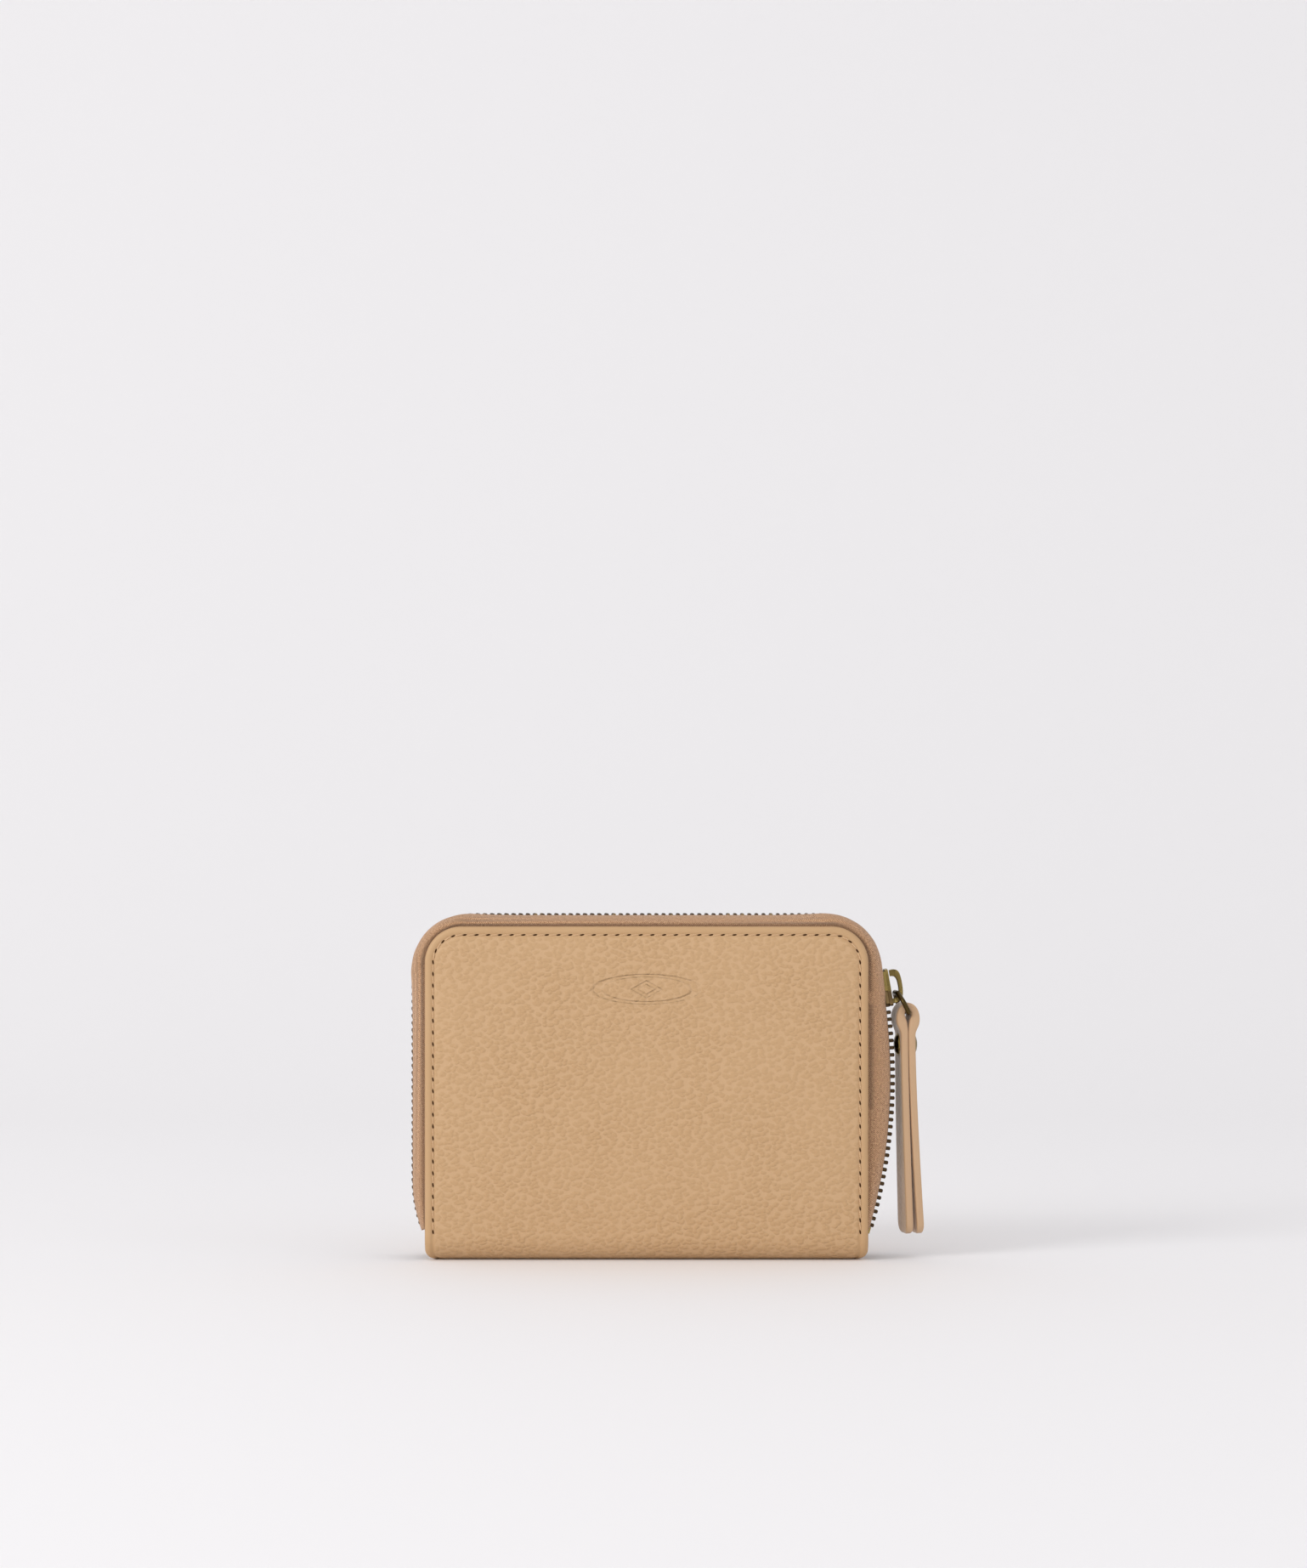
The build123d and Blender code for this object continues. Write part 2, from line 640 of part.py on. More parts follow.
coin_plate_back = pocket_front - COIN_COIL_THICKNESS - 0.15
coin_plate_front = coin_plate_back - COIN_PLATE
coin_lower_front = pocket_front + COIN_TAPE + 0.15
coin_pin_y = coin_plate_front - 0.5
with BuildPart() as coin_slider_body:
    for y in (coin_plate_back, coin_lower_front + COIN_PLATE):
        with BuildSketch(front_plane(y)):
            with Locations((COIN_SLIDER_X, COIN_ZIP_HEIGHT)):
                RectangleRounded(COIN_SLIDER_LENGTH, COIN_SLIDER_WIDTH, 1.0)
        extrude(amount=COIN_PLATE)
    with Locations((COIN_SLIDER_X + 1.5, (coin_plate_front + coin_lower_front) / 2 + 0.3, COIN_ZIP_HEIGHT)):
        Box(1.6, coin_lower_front - coin_plate_front, COIN_POST)
    with BuildSketch(Plane.XY.offset(COIN_ZIP_HEIGHT)):
        with Locations((COIN_SLIDER_X - 0.5, coin_plate_front - 0.6)):
            Rectangle(4.4, 1.6)
            with Locations((0, 0.15)):
                Rectangle(3.0, 1.1, mode=Mode.SUBTRACT)
    extrude(amount=0.8, both=True)
write(coin_slider_body.part, "coin_slider_body")

with BuildPart() as coin_pull:
    pin_x = COIN_SLIDER_X - 0.5
    with Locations((pin_x, coin_pin_y, COIN_ZIP_HEIGHT)):
        Cylinder(0.38, COIN_PULL_WIDTH)
    with BuildSketch(front_plane(coin_pin_y + COIN_PULL / 2)):
        with Locations((pin_x + COIN_PULL_LENGTH / 2, COIN_ZIP_HEIGHT)):
            RectangleRounded(COIN_PULL_LENGTH, COIN_PULL_WIDTH, 0.35)
            with Locations((-COIN_PULL_LENGTH / 2 + 1.55, 0)):
                Rectangle(3.1 + 0.8, 2.2, mode=Mode.SUBTRACT)
    extrude(amount=COIN_PULL)
write(coin_pull.part, "coin_pull")
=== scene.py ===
import math

import bpy
import numpy as np
from mathutils import Matrix, Vector, noise


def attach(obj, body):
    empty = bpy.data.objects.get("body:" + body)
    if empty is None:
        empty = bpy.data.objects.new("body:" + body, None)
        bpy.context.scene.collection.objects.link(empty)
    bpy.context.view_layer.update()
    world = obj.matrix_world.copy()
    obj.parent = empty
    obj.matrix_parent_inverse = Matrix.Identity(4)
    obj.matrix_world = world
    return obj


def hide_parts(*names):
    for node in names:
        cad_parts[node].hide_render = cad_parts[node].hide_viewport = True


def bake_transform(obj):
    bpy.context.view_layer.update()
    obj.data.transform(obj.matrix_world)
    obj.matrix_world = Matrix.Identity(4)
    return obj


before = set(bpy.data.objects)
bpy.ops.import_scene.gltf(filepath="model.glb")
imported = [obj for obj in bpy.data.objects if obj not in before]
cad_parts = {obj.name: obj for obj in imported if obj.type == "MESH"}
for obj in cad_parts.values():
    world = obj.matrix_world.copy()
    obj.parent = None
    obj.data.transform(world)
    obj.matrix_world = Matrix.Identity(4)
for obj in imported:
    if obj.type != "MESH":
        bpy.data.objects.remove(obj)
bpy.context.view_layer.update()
MM = 0.001


# Outer leather: grained calfskin, skived and turned over at the edge, sewn in a shallow groove
# and puffed over wadding. It is one skin over front, spine and back, and it bends at the spine.

HALF_WIDTH = 60.75
TOP = 91.6
CORNER = 10.0
BEND = 7.0
FOOT_CORNER = 2.0
FRONT_FACE = 11.0
SKIN = 1.4
PUFF = 0.75
SEAM_INSET = 2.3
# Rim section from 10 mm inside the edge, over the edge and back: (inset, depth below the face).
RIM = (
    (8.8, 0), (7.6, 0), (6.6, 0), (5.7, 0), (4.9, 0), (4.3, 0), (3.8, 0), (3.4, 0.0),
    (3.1, 0.02), (2.85, 0.08), (2.6, 0.2), (2.3, 0.27), (2.0, 0.2), (1.75, 0.06), (1.45, 0.0),
    (1.1, 0.01), (0.75, 0.09), (0.42, 0.27), (0.17, 0.58), (0.03, 0.95), (0.0, 1.2),
    (0.05, 1.55), (0.22, 1.9), (0.5, 2.2), (0.9, 2.36), (1.5, 2.4), (3.0, 2.4), (4.5, 2.4),
)


def linear(code):
    """A hex sRGB colour as linear RGBA."""
    parts = [int(code[i : i + 2], 16) / 255 for i in (1, 3, 5)]
    return [p / 12.92 if p <= 0.04045 else ((p + 0.055) / 1.055) ** 2.4 for p in parts] + [1.0]


def add(tree, kind, links=None, **settings):
    """Add a node, set its properties, and give or link its inputs."""
    node = tree.nodes.new(kind)
    for name, value in settings.items():
        setattr(node, name, value)
    for name, value in (links or {}).items():
        if isinstance(value, bpy.types.NodeSocket):
            tree.links.new(value, node.inputs[name])
        else:
            node.inputs[name].default_value = value
    return node


def new_material(name):
    material = bpy.data.materials.new(name)
    material.use_nodes = True
    material.node_tree.nodes.clear()
    return material, material.node_tree


def solid_piece(name, points, faces, material, smooth=True):
    """Mesh object from points in millimetres and faces that point outwards."""
    mesh = bpy.data.meshes.new(name)
    mesh.from_pydata([Vector(p) * MM for p in points], [], faces)
    mesh.materials.append(material)
    mesh.update()
    if smooth:
        mesh.shade_smooth()
    piece = bpy.data.objects.new(name, mesh)
    bpy.context.scene.collection.objects.link(piece)
    return piece


def rim_inset(x, h):
    """Distance in from the cover's left, top and right edges; none is measured at the foot."""
    across = abs(x) - (HALF_WIDTH - CORNER)
    up = h - (TOP - CORNER)
    if across > 0 and up > 0:
        return CORNER - math.hypot(across, up)
    return CORNER - max(across, up)


def puff(x, h):
    """How far the wadding lifts the leather above the flat face."""
    inside = max(rim_inset(x, h) - SEAM_INSET - 0.5, 0)
    low = min(max((h - 2) / 16, 0), 1)
    crown = PUFF * (1 - math.exp(-inside / 5.0))
    crown += 0.35 * max(1 - (x / 62) ** 2, 0) * max(1 - ((h - 48) / 46) ** 2, 0)
    wave = noise.noise(Vector((x / 21, h / 17, 3.1))) * 0.22
    wave += noise.noise(Vector((x / 8, h / 7, 9.2))) * 0.05
    return (crown + wave * min(inside / 6, 1)) * low * low * (3 - 2 * low)


def on_cover(x, h, depth):
    """Point of the front cover at x and height h along its skin, depth below the face.

    Below 7 mm the skin turns under; from 4 mm below zero on it lies flat under the spine.
    """
    arc = BEND * math.pi / 2
    if h >= BEND:
        y, z, level = -FRONT_FACE + depth, h, h
    elif h >= BEND - arc:
        turn = (BEND - h) / BEND
        y = -(FRONT_FACE - BEND) - (BEND - depth) * math.cos(turn)
        z = BEND - (BEND - depth) * math.sin(turn)
        level = BEND - BEND * math.sin(turn)
    else:
        y, z, level = -(FRONT_FACE - BEND) + (BEND - arc - h), depth, 0
    if level < FOOT_CORNER:
        gone = FOOT_CORNER - math.sqrt(FOOT_CORNER**2 - (FOOT_CORNER - level) ** 2)
        x *= 1 - gone / HALF_WIDTH
    return x, y, z


def cover_grid(rim, column_step, row_step, foot):
    """Grid over a cover: a list of rows of (x, h, rim level), with quarter-round top corners."""
    levels = [CORNER] + [inset for inset, _ in rim]
    flat = HALF_WIDTH - CORNER
    columns = max(int(2 * flat / column_step), 2)
    across = [(-flat, k) for k in range(len(rim), 0, -1)]
    across += [(-flat + 2 * flat * i / columns, 0) for i in range(columns + 1)]
    across += [(flat, k) for k in range(1, len(rim) + 1)]
    high = TOP - CORNER
    up = [(h, 0) for h in foot]
    rows = int((high - foot[-1]) / row_step)
    up += [(foot[-1] + (high - foot[-1]) * i / rows, 0) for i in range(1, rows + 1)]
    up += [(high, k) for k in range(1, len(rim) + 1)]
    grid = []
    for h, above in up:
        row = []
        for x, beside in across:
            level = max(above, beside)
            reach = CORNER - levels[level]
            side = -1 if x < 0 else 1
            if level == 0:
                row.append((x, h, 0))
            elif above == 0:
                row.append((x + side * reach, h, level))
            elif beside == 0:
                row.append((x, h + reach, level))
            else:
                share = above / beside if above <= beside else 2 - beside / above
                angle = share * math.pi / 4
                row.append((x + side * reach * math.cos(angle), h + reach * math.sin(angle), level))
        grid.append(row)
    return grid


def two_skins(outer, inner):
    """Closed faces over two point grids of the same shape; outer is seen from -Y."""
    rows, columns = len(outer), len(outer[0])
    points = [p for row in outer for p in row] + [p for row in inner for p in row]
    below = rows * columns
    faces = []
    for r in range(rows - 1):
        for c in range(columns - 1):
            a, b = r * columns + c, r * columns + c + 1
            d, e = a + columns, b + columns
            faces.append((a, b, e, d))
            faces.append((a + below, d + below, e + below, b + below))
    ring = [c for c in range(columns)]
    ring += [r * columns + columns - 1 for r in range(1, rows)]
    ring += [(rows - 1) * columns + c for c in range(columns - 2, -1, -1)]
    ring += [r * columns for r in range(rows - 2, 0, -1)]
    for a, b in zip(ring, ring[1:] + ring[:1]):
        faces.append((b, a, a + below, b + below))
    return points, faces


def mirrored(points, faces):
    """The same shape for the back cover."""
    return [(x, -y, z) for x, y, z in points], [tuple(reversed(f)) for f in faces]


# Full-grain calf, drum-dyed tan and milled: pebbles of 1 to 2 mm with fine creases between them, painted paler
# as painted highlight along the pebbles' borders, a satin film on top, and a slightly darker tone painted over
# the turned edge.
calf, tree = new_material("milled_grain_calfskin_tan")
place = add(tree, "ShaderNodeTexCoord").outputs["Object"]
hide = add(tree, "ShaderNodeUVMap", uv_map="hide").outputs["UV"]
warp = add(tree, "ShaderNodeTexNoise", {"Vector": hide, "Scale": 0.32, "Detail": 2.0})
pushed = add(
    tree, "ShaderNodeVectorMath", {0: warp.outputs["Color"], 1: (1.7, 1.7, 0.0)}, operation="MULTIPLY"
)
bent = add(tree, "ShaderNodeVectorMath", {0: hide, 1: pushed.outputs[0]}, operation="ADD")
# The hide was stretched one way, so the pebbles are longer towards the upper right.
bent = add(
    tree, "ShaderNodeMapping",
    {"Vector": bent.outputs[0], "Rotation": (0.0, 0.0, math.radians(-35)), "Scale": (0.8, 1.15, 1.0)},
)
PEBBLE = 1.35
pebble = add(
    tree, "ShaderNodeTexVoronoi",
    {"Vector": bent.outputs[0], "Scale": 1 / PEBBLE, "Smoothness": 0.4},
    feature="SMOOTH_F1", voronoi_dimensions="2D",
)
crease = add(
    tree, "ShaderNodeMapRange",
    {"Value": pebble.outputs["Distance"], "From Min": 0.6, "From Max": 0.38},
    interpolation_type="SMOOTHSTEP",
)
dome = add(
    tree, "ShaderNodeMapRange",
    {"Value": pebble.outputs["Distance"], "From Min": 0.66, "From Max": 0.08},
    interpolation_type="SMOOTHSTEP",
)
fine = add(
    tree, "ShaderNodeTexVoronoi", {"Vector": bent.outputs[0], "Scale": 1 / 0.42},
    feature="F1", voronoi_dimensions="2D",
)
patch = add(tree, "ShaderNodeTexNoise", {"Vector": place, "Scale": 55.0, "Detail": 4.0})
spread = add(
    tree, "ShaderNodeMapRange",
    {"Value": patch.outputs["Fac"], "From Min": 0.3, "From Max": 0.65, "To Min": 0.5, "To Max": 1.0},
)
depth = add(
    tree, "ShaderNodeMath", {0: dome.outputs["Result"], 1: spread.outputs["Result"]},
    operation="MULTIPLY",
)
fine_depth = add(
    tree, "ShaderNodeMath", {0: fine.outputs["Distance"], 1: -0.1}, operation="MULTIPLY"
)
height = add(
    tree, "ShaderNodeMath", {0: depth.outputs[0], 1: fine_depth.outputs[0]}, operation="ADD"
)
pressed_rim = add(tree, "ShaderNodeAttribute", attribute_name="pressed")
standing = add(
    tree, "ShaderNodeMapRange", {"Value": pressed_rim.outputs["Fac"], "To Min": 1.0, "To Max": 0.15}
)
height = add(
    tree, "ShaderNodeMath", {0: height.outputs[0], 1: standing.outputs["Result"]}, operation="MULTIPLY"
)
grain = add(
    tree, "ShaderNodeBump",
    {"Height": height.outputs[0], "Distance": 0.17 * MM, "Strength": 1.0},
)
tone = add(
    tree, "ShaderNodeMapRange",
    {"Value": crease.outputs["Result"], "From Min": 0.0, "From Max": 1.0, "To Min": 0.45, "To Max": 1.0},
)
body_colour = add(
    tree, "ShaderNodeMix",
    {"Factor": patch.outputs["Fac"], "A": linear("#C8A47A"), "B": linear("#C19B70")},
    data_type="RGBA",
)
rim_tone = add(
    tree, "ShaderNodeMath", {0: tone.outputs["Result"], 1: pressed_rim.outputs["Fac"]}, operation="MAXIMUM"
)
# The creases are painted paler than the pebbles: partly the grain's own tone, partly painted highlight along the
# pebble borders.
crease_tone_and_highlight_colour = add(
    tree, "ShaderNodeMix",
    {"Factor": rim_tone.outputs[0], "A": linear("#D0AC84"), "B": body_colour.outputs["Result"]},
    data_type="RGBA",
)
# The edge attribute mixes a darker tone over the turned edge and across the inside face.
skin_edge = add(tree, "ShaderNodeAttribute", attribute_name="edge")
colour = add(
    tree, "ShaderNodeMix",
    {"Factor": skin_edge.outputs["Fac"], "A": crease_tone_and_highlight_colour.outputs["Result"], "B": linear("#B28B60")},
    data_type="RGBA",
)
gloss = add(
    tree, "ShaderNodeMapRange",
    {"Value": patch.outputs["Fac"], "From Min": 0.3, "From Max": 0.7, "To Min": 0.46, "To Max": 0.6},
)
calf_shader = add(
    tree, "ShaderNodeBsdfPrincipled",
    {
        "Base Color": colour.outputs["Result"],
        "Roughness": gloss.outputs["Result"],
        "IOR": 1.46,
        "Specular IOR Level": 0.42,
        "Normal": grain.outputs["Normal"],
    },
)
add(tree, "ShaderNodeOutputMaterial", {"Surface": calf_shader.outputs[0]})

skin_foot = [-8.0, -6.5, -5.0] + [BEND - BEND * math.pi / 2 * (1 - i / 16) for i in range(17)]
skin_grid = cover_grid(RIM, 1.7, 1.7, skin_foot)
face_depth = [0.0] + [deep for _, deep in RIM]
inner_reach = CORNER - 4.6
outer_skin, inner_skin, edge_tone, pressed_tone, hide_map = [], [], [], [], []
for row in skin_grid:
    outer_skin.append([])
    inner_skin.append([])
    for x, h, level in row:
        lift = puff(x, h) if face_depth[level] < 1.2 else 0.0
        outer_skin[-1].append(on_cover(x, h, face_depth[level] - lift))
        edge_tone.append(min(max((face_depth[level] - 0.25) / 0.8, 0), 1) * 0.7)
        pressed_tone.append(min(max((3.6 - RIM[level - 1][0]) / 1.0, 0), 1) if level else 0.0)
        round_x = face_depth[level] if abs(x) > HALF_WIDTH - CORNER else 0.0
        round_h = face_depth[level] if h > TOP - CORNER else 0.0
        hide_map.append((x + math.copysign(round_x, x), h + round_h))
        flat_x, flat_h = x, h
        if level:
            # The inner face keeps the same rows and columns and stops inside the turned edge.
            share = level / len(RIM) * inner_reach / (CORNER - RIM[level - 1][0] or 1)
            side = -1 if x < 0 else 1
            if abs(x) > HALF_WIDTH - CORNER:
                flat_x = side * (HALF_WIDTH - CORNER) + (x - side * (HALF_WIDTH - CORNER)) * share
            if h > TOP - CORNER:
                flat_h = TOP - CORNER + (h - TOP + CORNER) * share
        inner_skin[-1].append(on_cover(flat_x, flat_h, SKIN - puff(flat_x, flat_h)))
skin_points, skin_faces = two_skins(outer_skin, inner_skin)
edge_values = edge_tone + [0.6] * (len(skin_points) - len(edge_tone))
pressed_values = pressed_tone + [0.5] * (len(skin_points) - len(edge_tone))
hide_map += hide_map

for cover, (points, faces) in {
    "front": (skin_points, skin_faces),
    "back": mirrored(skin_points, skin_faces),
}.items():
    skin = solid_piece(f"{cover}_cover_skin", points, faces, calf)
    tone_layer = skin.data.attributes.new("edge", "FLOAT", "POINT")
    tone_layer.data.foreach_set("value", edge_values)
    tone_layer = skin.data.attributes.new("pressed", "FLOAT", "POINT")
    tone_layer.data.foreach_set("value", pressed_values)
    hide_layer = skin.data.uv_layers.new(name="hide")
    shift = 0.0 if cover == "front" else 400.0
    for corner in skin.data.loops:
        across_hide, up_hide = hide_map[corner.vertex_index]
        hide_layer.data[corner.index].uv = (across_hide + shift, up_hide)
    finer = skin.modifiers.new("finer", "SUBSURF")
    finer.levels = finer.render_levels = 1
    if cover == "front":
        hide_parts("front_leather", "spine_leather")
    else:
        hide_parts("back_leather")
    side = -1 if cover == "front" else 1
    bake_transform(skin)


# Oval stamp on the front cover: a blind stamp presses two fine lines and a small lozenge into the
# grain with no colour. It is cut into the calf's bump, so it adds no piece.

STAMP_HEIGHT = 74.5
STAMP = (14.5, 4.0)
tree = calf.node_tree
parted = add(tree, "ShaderNodeSeparateXYZ", {"Vector": place})
stamp_x = add(
    tree, "ShaderNodeMath", {0: parted.outputs["X"], 1: 1 / (STAMP[0] * MM)}, operation="MULTIPLY"
)
stamp_up = add(
    tree, "ShaderNodeMath", {0: parted.outputs["Z"], 1: STAMP_HEIGHT * MM}, operation="SUBTRACT"
)
stamp_z = add(
    tree, "ShaderNodeMath", {0: stamp_up.outputs[0], 1: 1 / (STAMP[1] * MM)}, operation="MULTIPLY"
)
on_front = add(
    tree, "ShaderNodeMath", {0: parted.outputs["Y"], 1: -9 * MM}, operation="LESS_THAN"
)
flat_place = add(tree, "ShaderNodeCombineXYZ", {"X": stamp_x.outputs[0], "Y": stamp_z.outputs[0]})
reach = add(tree, "ShaderNodeVectorMath", {0: flat_place.outputs[0]}, operation="LENGTH")
side_x = add(tree, "ShaderNodeMath", {0: stamp_x.outputs[0]}, operation="ABSOLUTE")
side_z = add(tree, "ShaderNodeMath", {0: stamp_z.outputs[0]}, operation="ABSOLUTE")
wide = add(
    tree, "ShaderNodeMath", {0: side_x.outputs[0], 1: STAMP[0] / STAMP[1] * 0.55}, operation="MULTIPLY"
)
lozenge = add(tree, "ShaderNodeMath", {0: wide.outputs[0], 1: side_z.outputs[0]}, operation="ADD")
pressed = None
for source, middle, half in ((reach.outputs["Value"], 0.93, 0.085), (lozenge.outputs[0], 0.46, 0.12)):
    away = add(tree, "ShaderNodeMath", {0: source, 1: middle}, operation="SUBTRACT")
    away = add(tree, "ShaderNodeMath", {0: away.outputs[0]}, operation="ABSOLUTE")
    line = add(
        tree, "ShaderNodeMapRange",
        {
            "Value": away.outputs[0],
            "From Min": half * 0.5, "From Max": half * 1.6, "To Min": 1.0, "To Max": 0.0,
        },
        interpolation_type="SMOOTHSTEP",
    )
    if pressed is None:
        pressed = line.outputs["Result"]
    else:
        both = add(
            tree, "ShaderNodeMath", {0: pressed, 1: line.outputs["Result"]}, operation="MAXIMUM"
        )
        pressed = both.outputs[0]
pressed = add(tree, "ShaderNodeMath", {0: pressed, 1: on_front.outputs[0]}, operation="MULTIPLY").outputs[0]
stamped = add(
    tree, "ShaderNodeBump",
    {"Height": pressed, "Distance": 0.32 * MM, "Strength": 1.0, "Normal": grain.outputs["Normal"]},
    invert=True,
)
tree.links.new(stamped.outputs["Normal"], calf_shader.inputs["Normal"])


# Stitching: waxed thread in slanted holes from a pricking iron, one lock stitch every 3.2 mm,
# up one side, over the top and down the other. Each end of a stitch dives into a hole, drawn as a dark lens that
# is partly painted shade.

STITCH_PITCH = 3.2
SEAM_FOOT = 8.0


def seam_path(name, side):
    """Curve in the seam's groove of the front (-1) or back (1) cover."""
    left, high, corner = HALF_WIDTH - SEAM_INSET, TOP - SEAM_INSET, CORNER - SEAM_INSET
    points = [(-left, h) for h in np.linspace(SEAM_FOOT, TOP - CORNER, 50)]
    points += [
        (-left + corner - corner * math.cos(a), TOP - CORNER + corner * math.sin(a))
        for a in np.linspace(0.1, math.pi / 2 - 0.1, 12)
    ]
    points += [(x, high) for x in np.linspace(-left + corner, left - corner, 60)]
    points += [(-x, h) for x, h in reversed(points[:62])]
    return path_curve(name, [(x, side * (FRONT_FACE - 0.12), h) for x, h in points])


def path_curve(name, points, rolls=None):
    data = bpy.data.curves.new(name, "CURVE")
    data.dimensions = "3D"
    line = data.splines.new("POLY")
    line.points.add(len(points) - 1)
    for i, (x, y, z) in enumerate(points):
        line.points[i].co = (x * MM, y * MM, z * MM, 1)
        line.points[i].tilt = rolls[i] if rolls else 0.0
    curve = bpy.data.objects.new(name, data)
    bpy.context.scene.collection.objects.link(curve)
    return curve


def row_tree(name):
    """Node tree that sets a unit along a curve at an even pitch, its X along and Y to the back.

    Start is left free at both ends. The path's tilt rolls a unit about its X.
    """
    tree = bpy.data.node_groups.new(name, "GeometryNodeTree")
    for label, kind in (
        ("Path", "NodeSocketGeometry"), ("Unit", "NodeSocketObject"), ("Pitch", "NodeSocketFloat"),
        ("Start", "NodeSocketFloat"), ("Wobble", "NodeSocketFloat"), ("Finish", "NodeSocketMaterial"),
    ):
        tree.interface.new_socket(label, in_out="INPUT", socket_type=kind)
    tree.interface.new_socket("Row", in_out="OUTPUT", socket_type="NodeSocketGeometry")
    given = add(tree, "NodeGroupInput")
    cut = add(
        tree, "GeometryNodeTrimCurve",
        {"Curve": given.outputs["Path"]}, mode="LENGTH",
    )
    tree.links.new(given.outputs["Start"], [s for s in cut.inputs if s.name == "Start" and s.enabled][-1])
    reach = add(tree, "GeometryNodeCurveLength", {"Curve": given.outputs["Path"]})
    last = add(
        tree, "ShaderNodeMath", {0: reach.outputs[0], 1: given.outputs["Start"]}, operation="SUBTRACT"
    )
    tree.links.new(last.outputs[0], [s for s in cut.inputs if s.name == "End" and s.enabled][-1])
    spots = add(
        tree, "GeometryNodeCurveToPoints",
        {"Curve": cut.outputs[0], "Length": given.outputs["Pitch"]}, mode="LENGTH",
    )
    along = add(
        tree, "FunctionNodeAlignRotationToVector", {"Vector": spots.outputs["Tangent"]}, axis="X"
    )
    upright = add(
        tree, "FunctionNodeAlignRotationToVector",
        {"Rotation": along.outputs[0], "Vector": (0.0, 1.0, 0.0)}, axis="Y", pivot_axis="X",
    )
    low = add(tree, "ShaderNodeMath", {0: given.outputs["Wobble"], 1: -1.0}, operation="MULTIPLY")
    tilt = add(
        tree, "FunctionNodeRandomValue",
        {"Min": low.outputs[0], "Max": given.outputs["Wobble"], "Seed": 4}, data_type="FLOAT",
    )
    roll = add(tree, "GeometryNodeInputNamedAttribute", {"Name": "tilt"}, data_type="FLOAT")
    lean = add(
        tree, "ShaderNodeCombineXYZ",
        {"X": roll.outputs["Attribute"], "Y": tilt.outputs[1], "Z": tilt.outputs[1]},
    )
    turned = add(
        tree, "FunctionNodeRotateRotation",
        {"Rotation": upright.outputs[0], "Rotate By": lean.outputs[0]}, rotation_space="LOCAL",
    )
    unit = add(tree, "GeometryNodeObjectInfo", {"Object": given.outputs["Unit"]})
    row = add(
        tree, "GeometryNodeInstanceOnPoints",
        {
            "Points": spots.outputs["Points"],
            "Instance": unit.outputs["Geometry"],
            "Rotation": turned.outputs[0],
        },
    )
    real = add(tree, "GeometryNodeRealizeInstances", {"Geometry": row.outputs[0]})
    dressed = add(
        tree, "GeometryNodeSetMaterial",
        {"Geometry": real.outputs[0], "Material": given.outputs["Finish"]},
    )
    add(tree, "NodeGroupOutput", {"Row": dressed.outputs[0]})
    return tree


def row_piece(name, path, unit, tree, **values):
    """Run a row tree on a path and keep the result as one plain mesh.

    The pitch is evened out over the path, and Start is given as a share of it.
    """
    spots = [Vector(spot.co[:3]) for spot in path.data.splines[0].points]
    reach = sum((b - a).length for a, b in zip(spots, spots[1:]))
    step = reach / round(reach / values["Pitch"])
    values["Pitch"], values["Start"] = step * 0.9995, step * values["Start"]
    modifier = path.modifiers.new("row", "NODES")
    modifier.node_group = tree
    sockets = {s.name: s.identifier for s in tree.interface.items_tree if s.in_out == "INPUT"}
    modifier[sockets["Unit"]] = unit
    for label, value in values.items():
        modifier[sockets[label]] = value
    shown = path.evaluated_get(bpy.context.evaluated_depsgraph_get())
    mesh = bpy.data.meshes.new_from_object(shown)
    mesh.name = name
    mesh.shade_smooth()
    piece = bpy.data.objects.new(name, mesh)
    bpy.context.scene.collection.objects.link(piece)
    bpy.data.objects.remove(path)
    return piece


def capsule(rings, sides):
    """Closed faces over rings of points, given as (x, y, z, radius across, radius up)."""
    points, faces = [], []
    for x, y, z, wide, tall in rings:
        for i in range(sides):
            turn = 2 * math.pi * i / sides
            points.append((x, y + wide * math.cos(turn), z + tall * math.sin(turn)))
    for r in range(len(rings) - 1):
        for i in range(sides):
            a, b = r * sides + i, r * sides + (i + 1) % sides
            faces.append((a, b, b + sides, a + sides))
    faces.append(tuple(range(sides - 1, -1, -1)))
    faces.append(tuple(range((len(rings) - 1) * sides, len(rings) * sides)))
    return points, faces


# Three-ply polyester thread, waxed: a rounded cord with a soft shine and a slanting twist.
thread, tree = new_material("waxed_polyester_thread_sand")
thread_place = add(tree, "ShaderNodeTexCoord").outputs["Object"]
twist = add(
    tree, "ShaderNodeTexWave",
    {"Vector": thread_place, "Scale": 1 / (0.9 * MM), "Distortion": 1.5, "Detail": 1.0},
    wave_type="BANDS", bands_direction="DIAGONAL",
)
thread_bump = add(tree, "ShaderNodeBump", {"Height": twist.outputs["Fac"], "Distance": 0.04 * MM})
thread_colour = add(
    tree, "ShaderNodeMix",
    {"Factor": twist.outputs["Fac"], "A": linear("#C39E75"), "B": linear("#DCB88E")},
    data_type="RGBA",
)
thread_shader = add(
    tree, "ShaderNodeBsdfPrincipled",
    {
        "Base Color": thread_colour.outputs["Result"],
        "Roughness": 0.5,
        "Normal": thread_bump.outputs["Normal"],
    },
)
add(tree, "ShaderNodeOutputMaterial", {"Surface": thread_shader.outputs[0]})

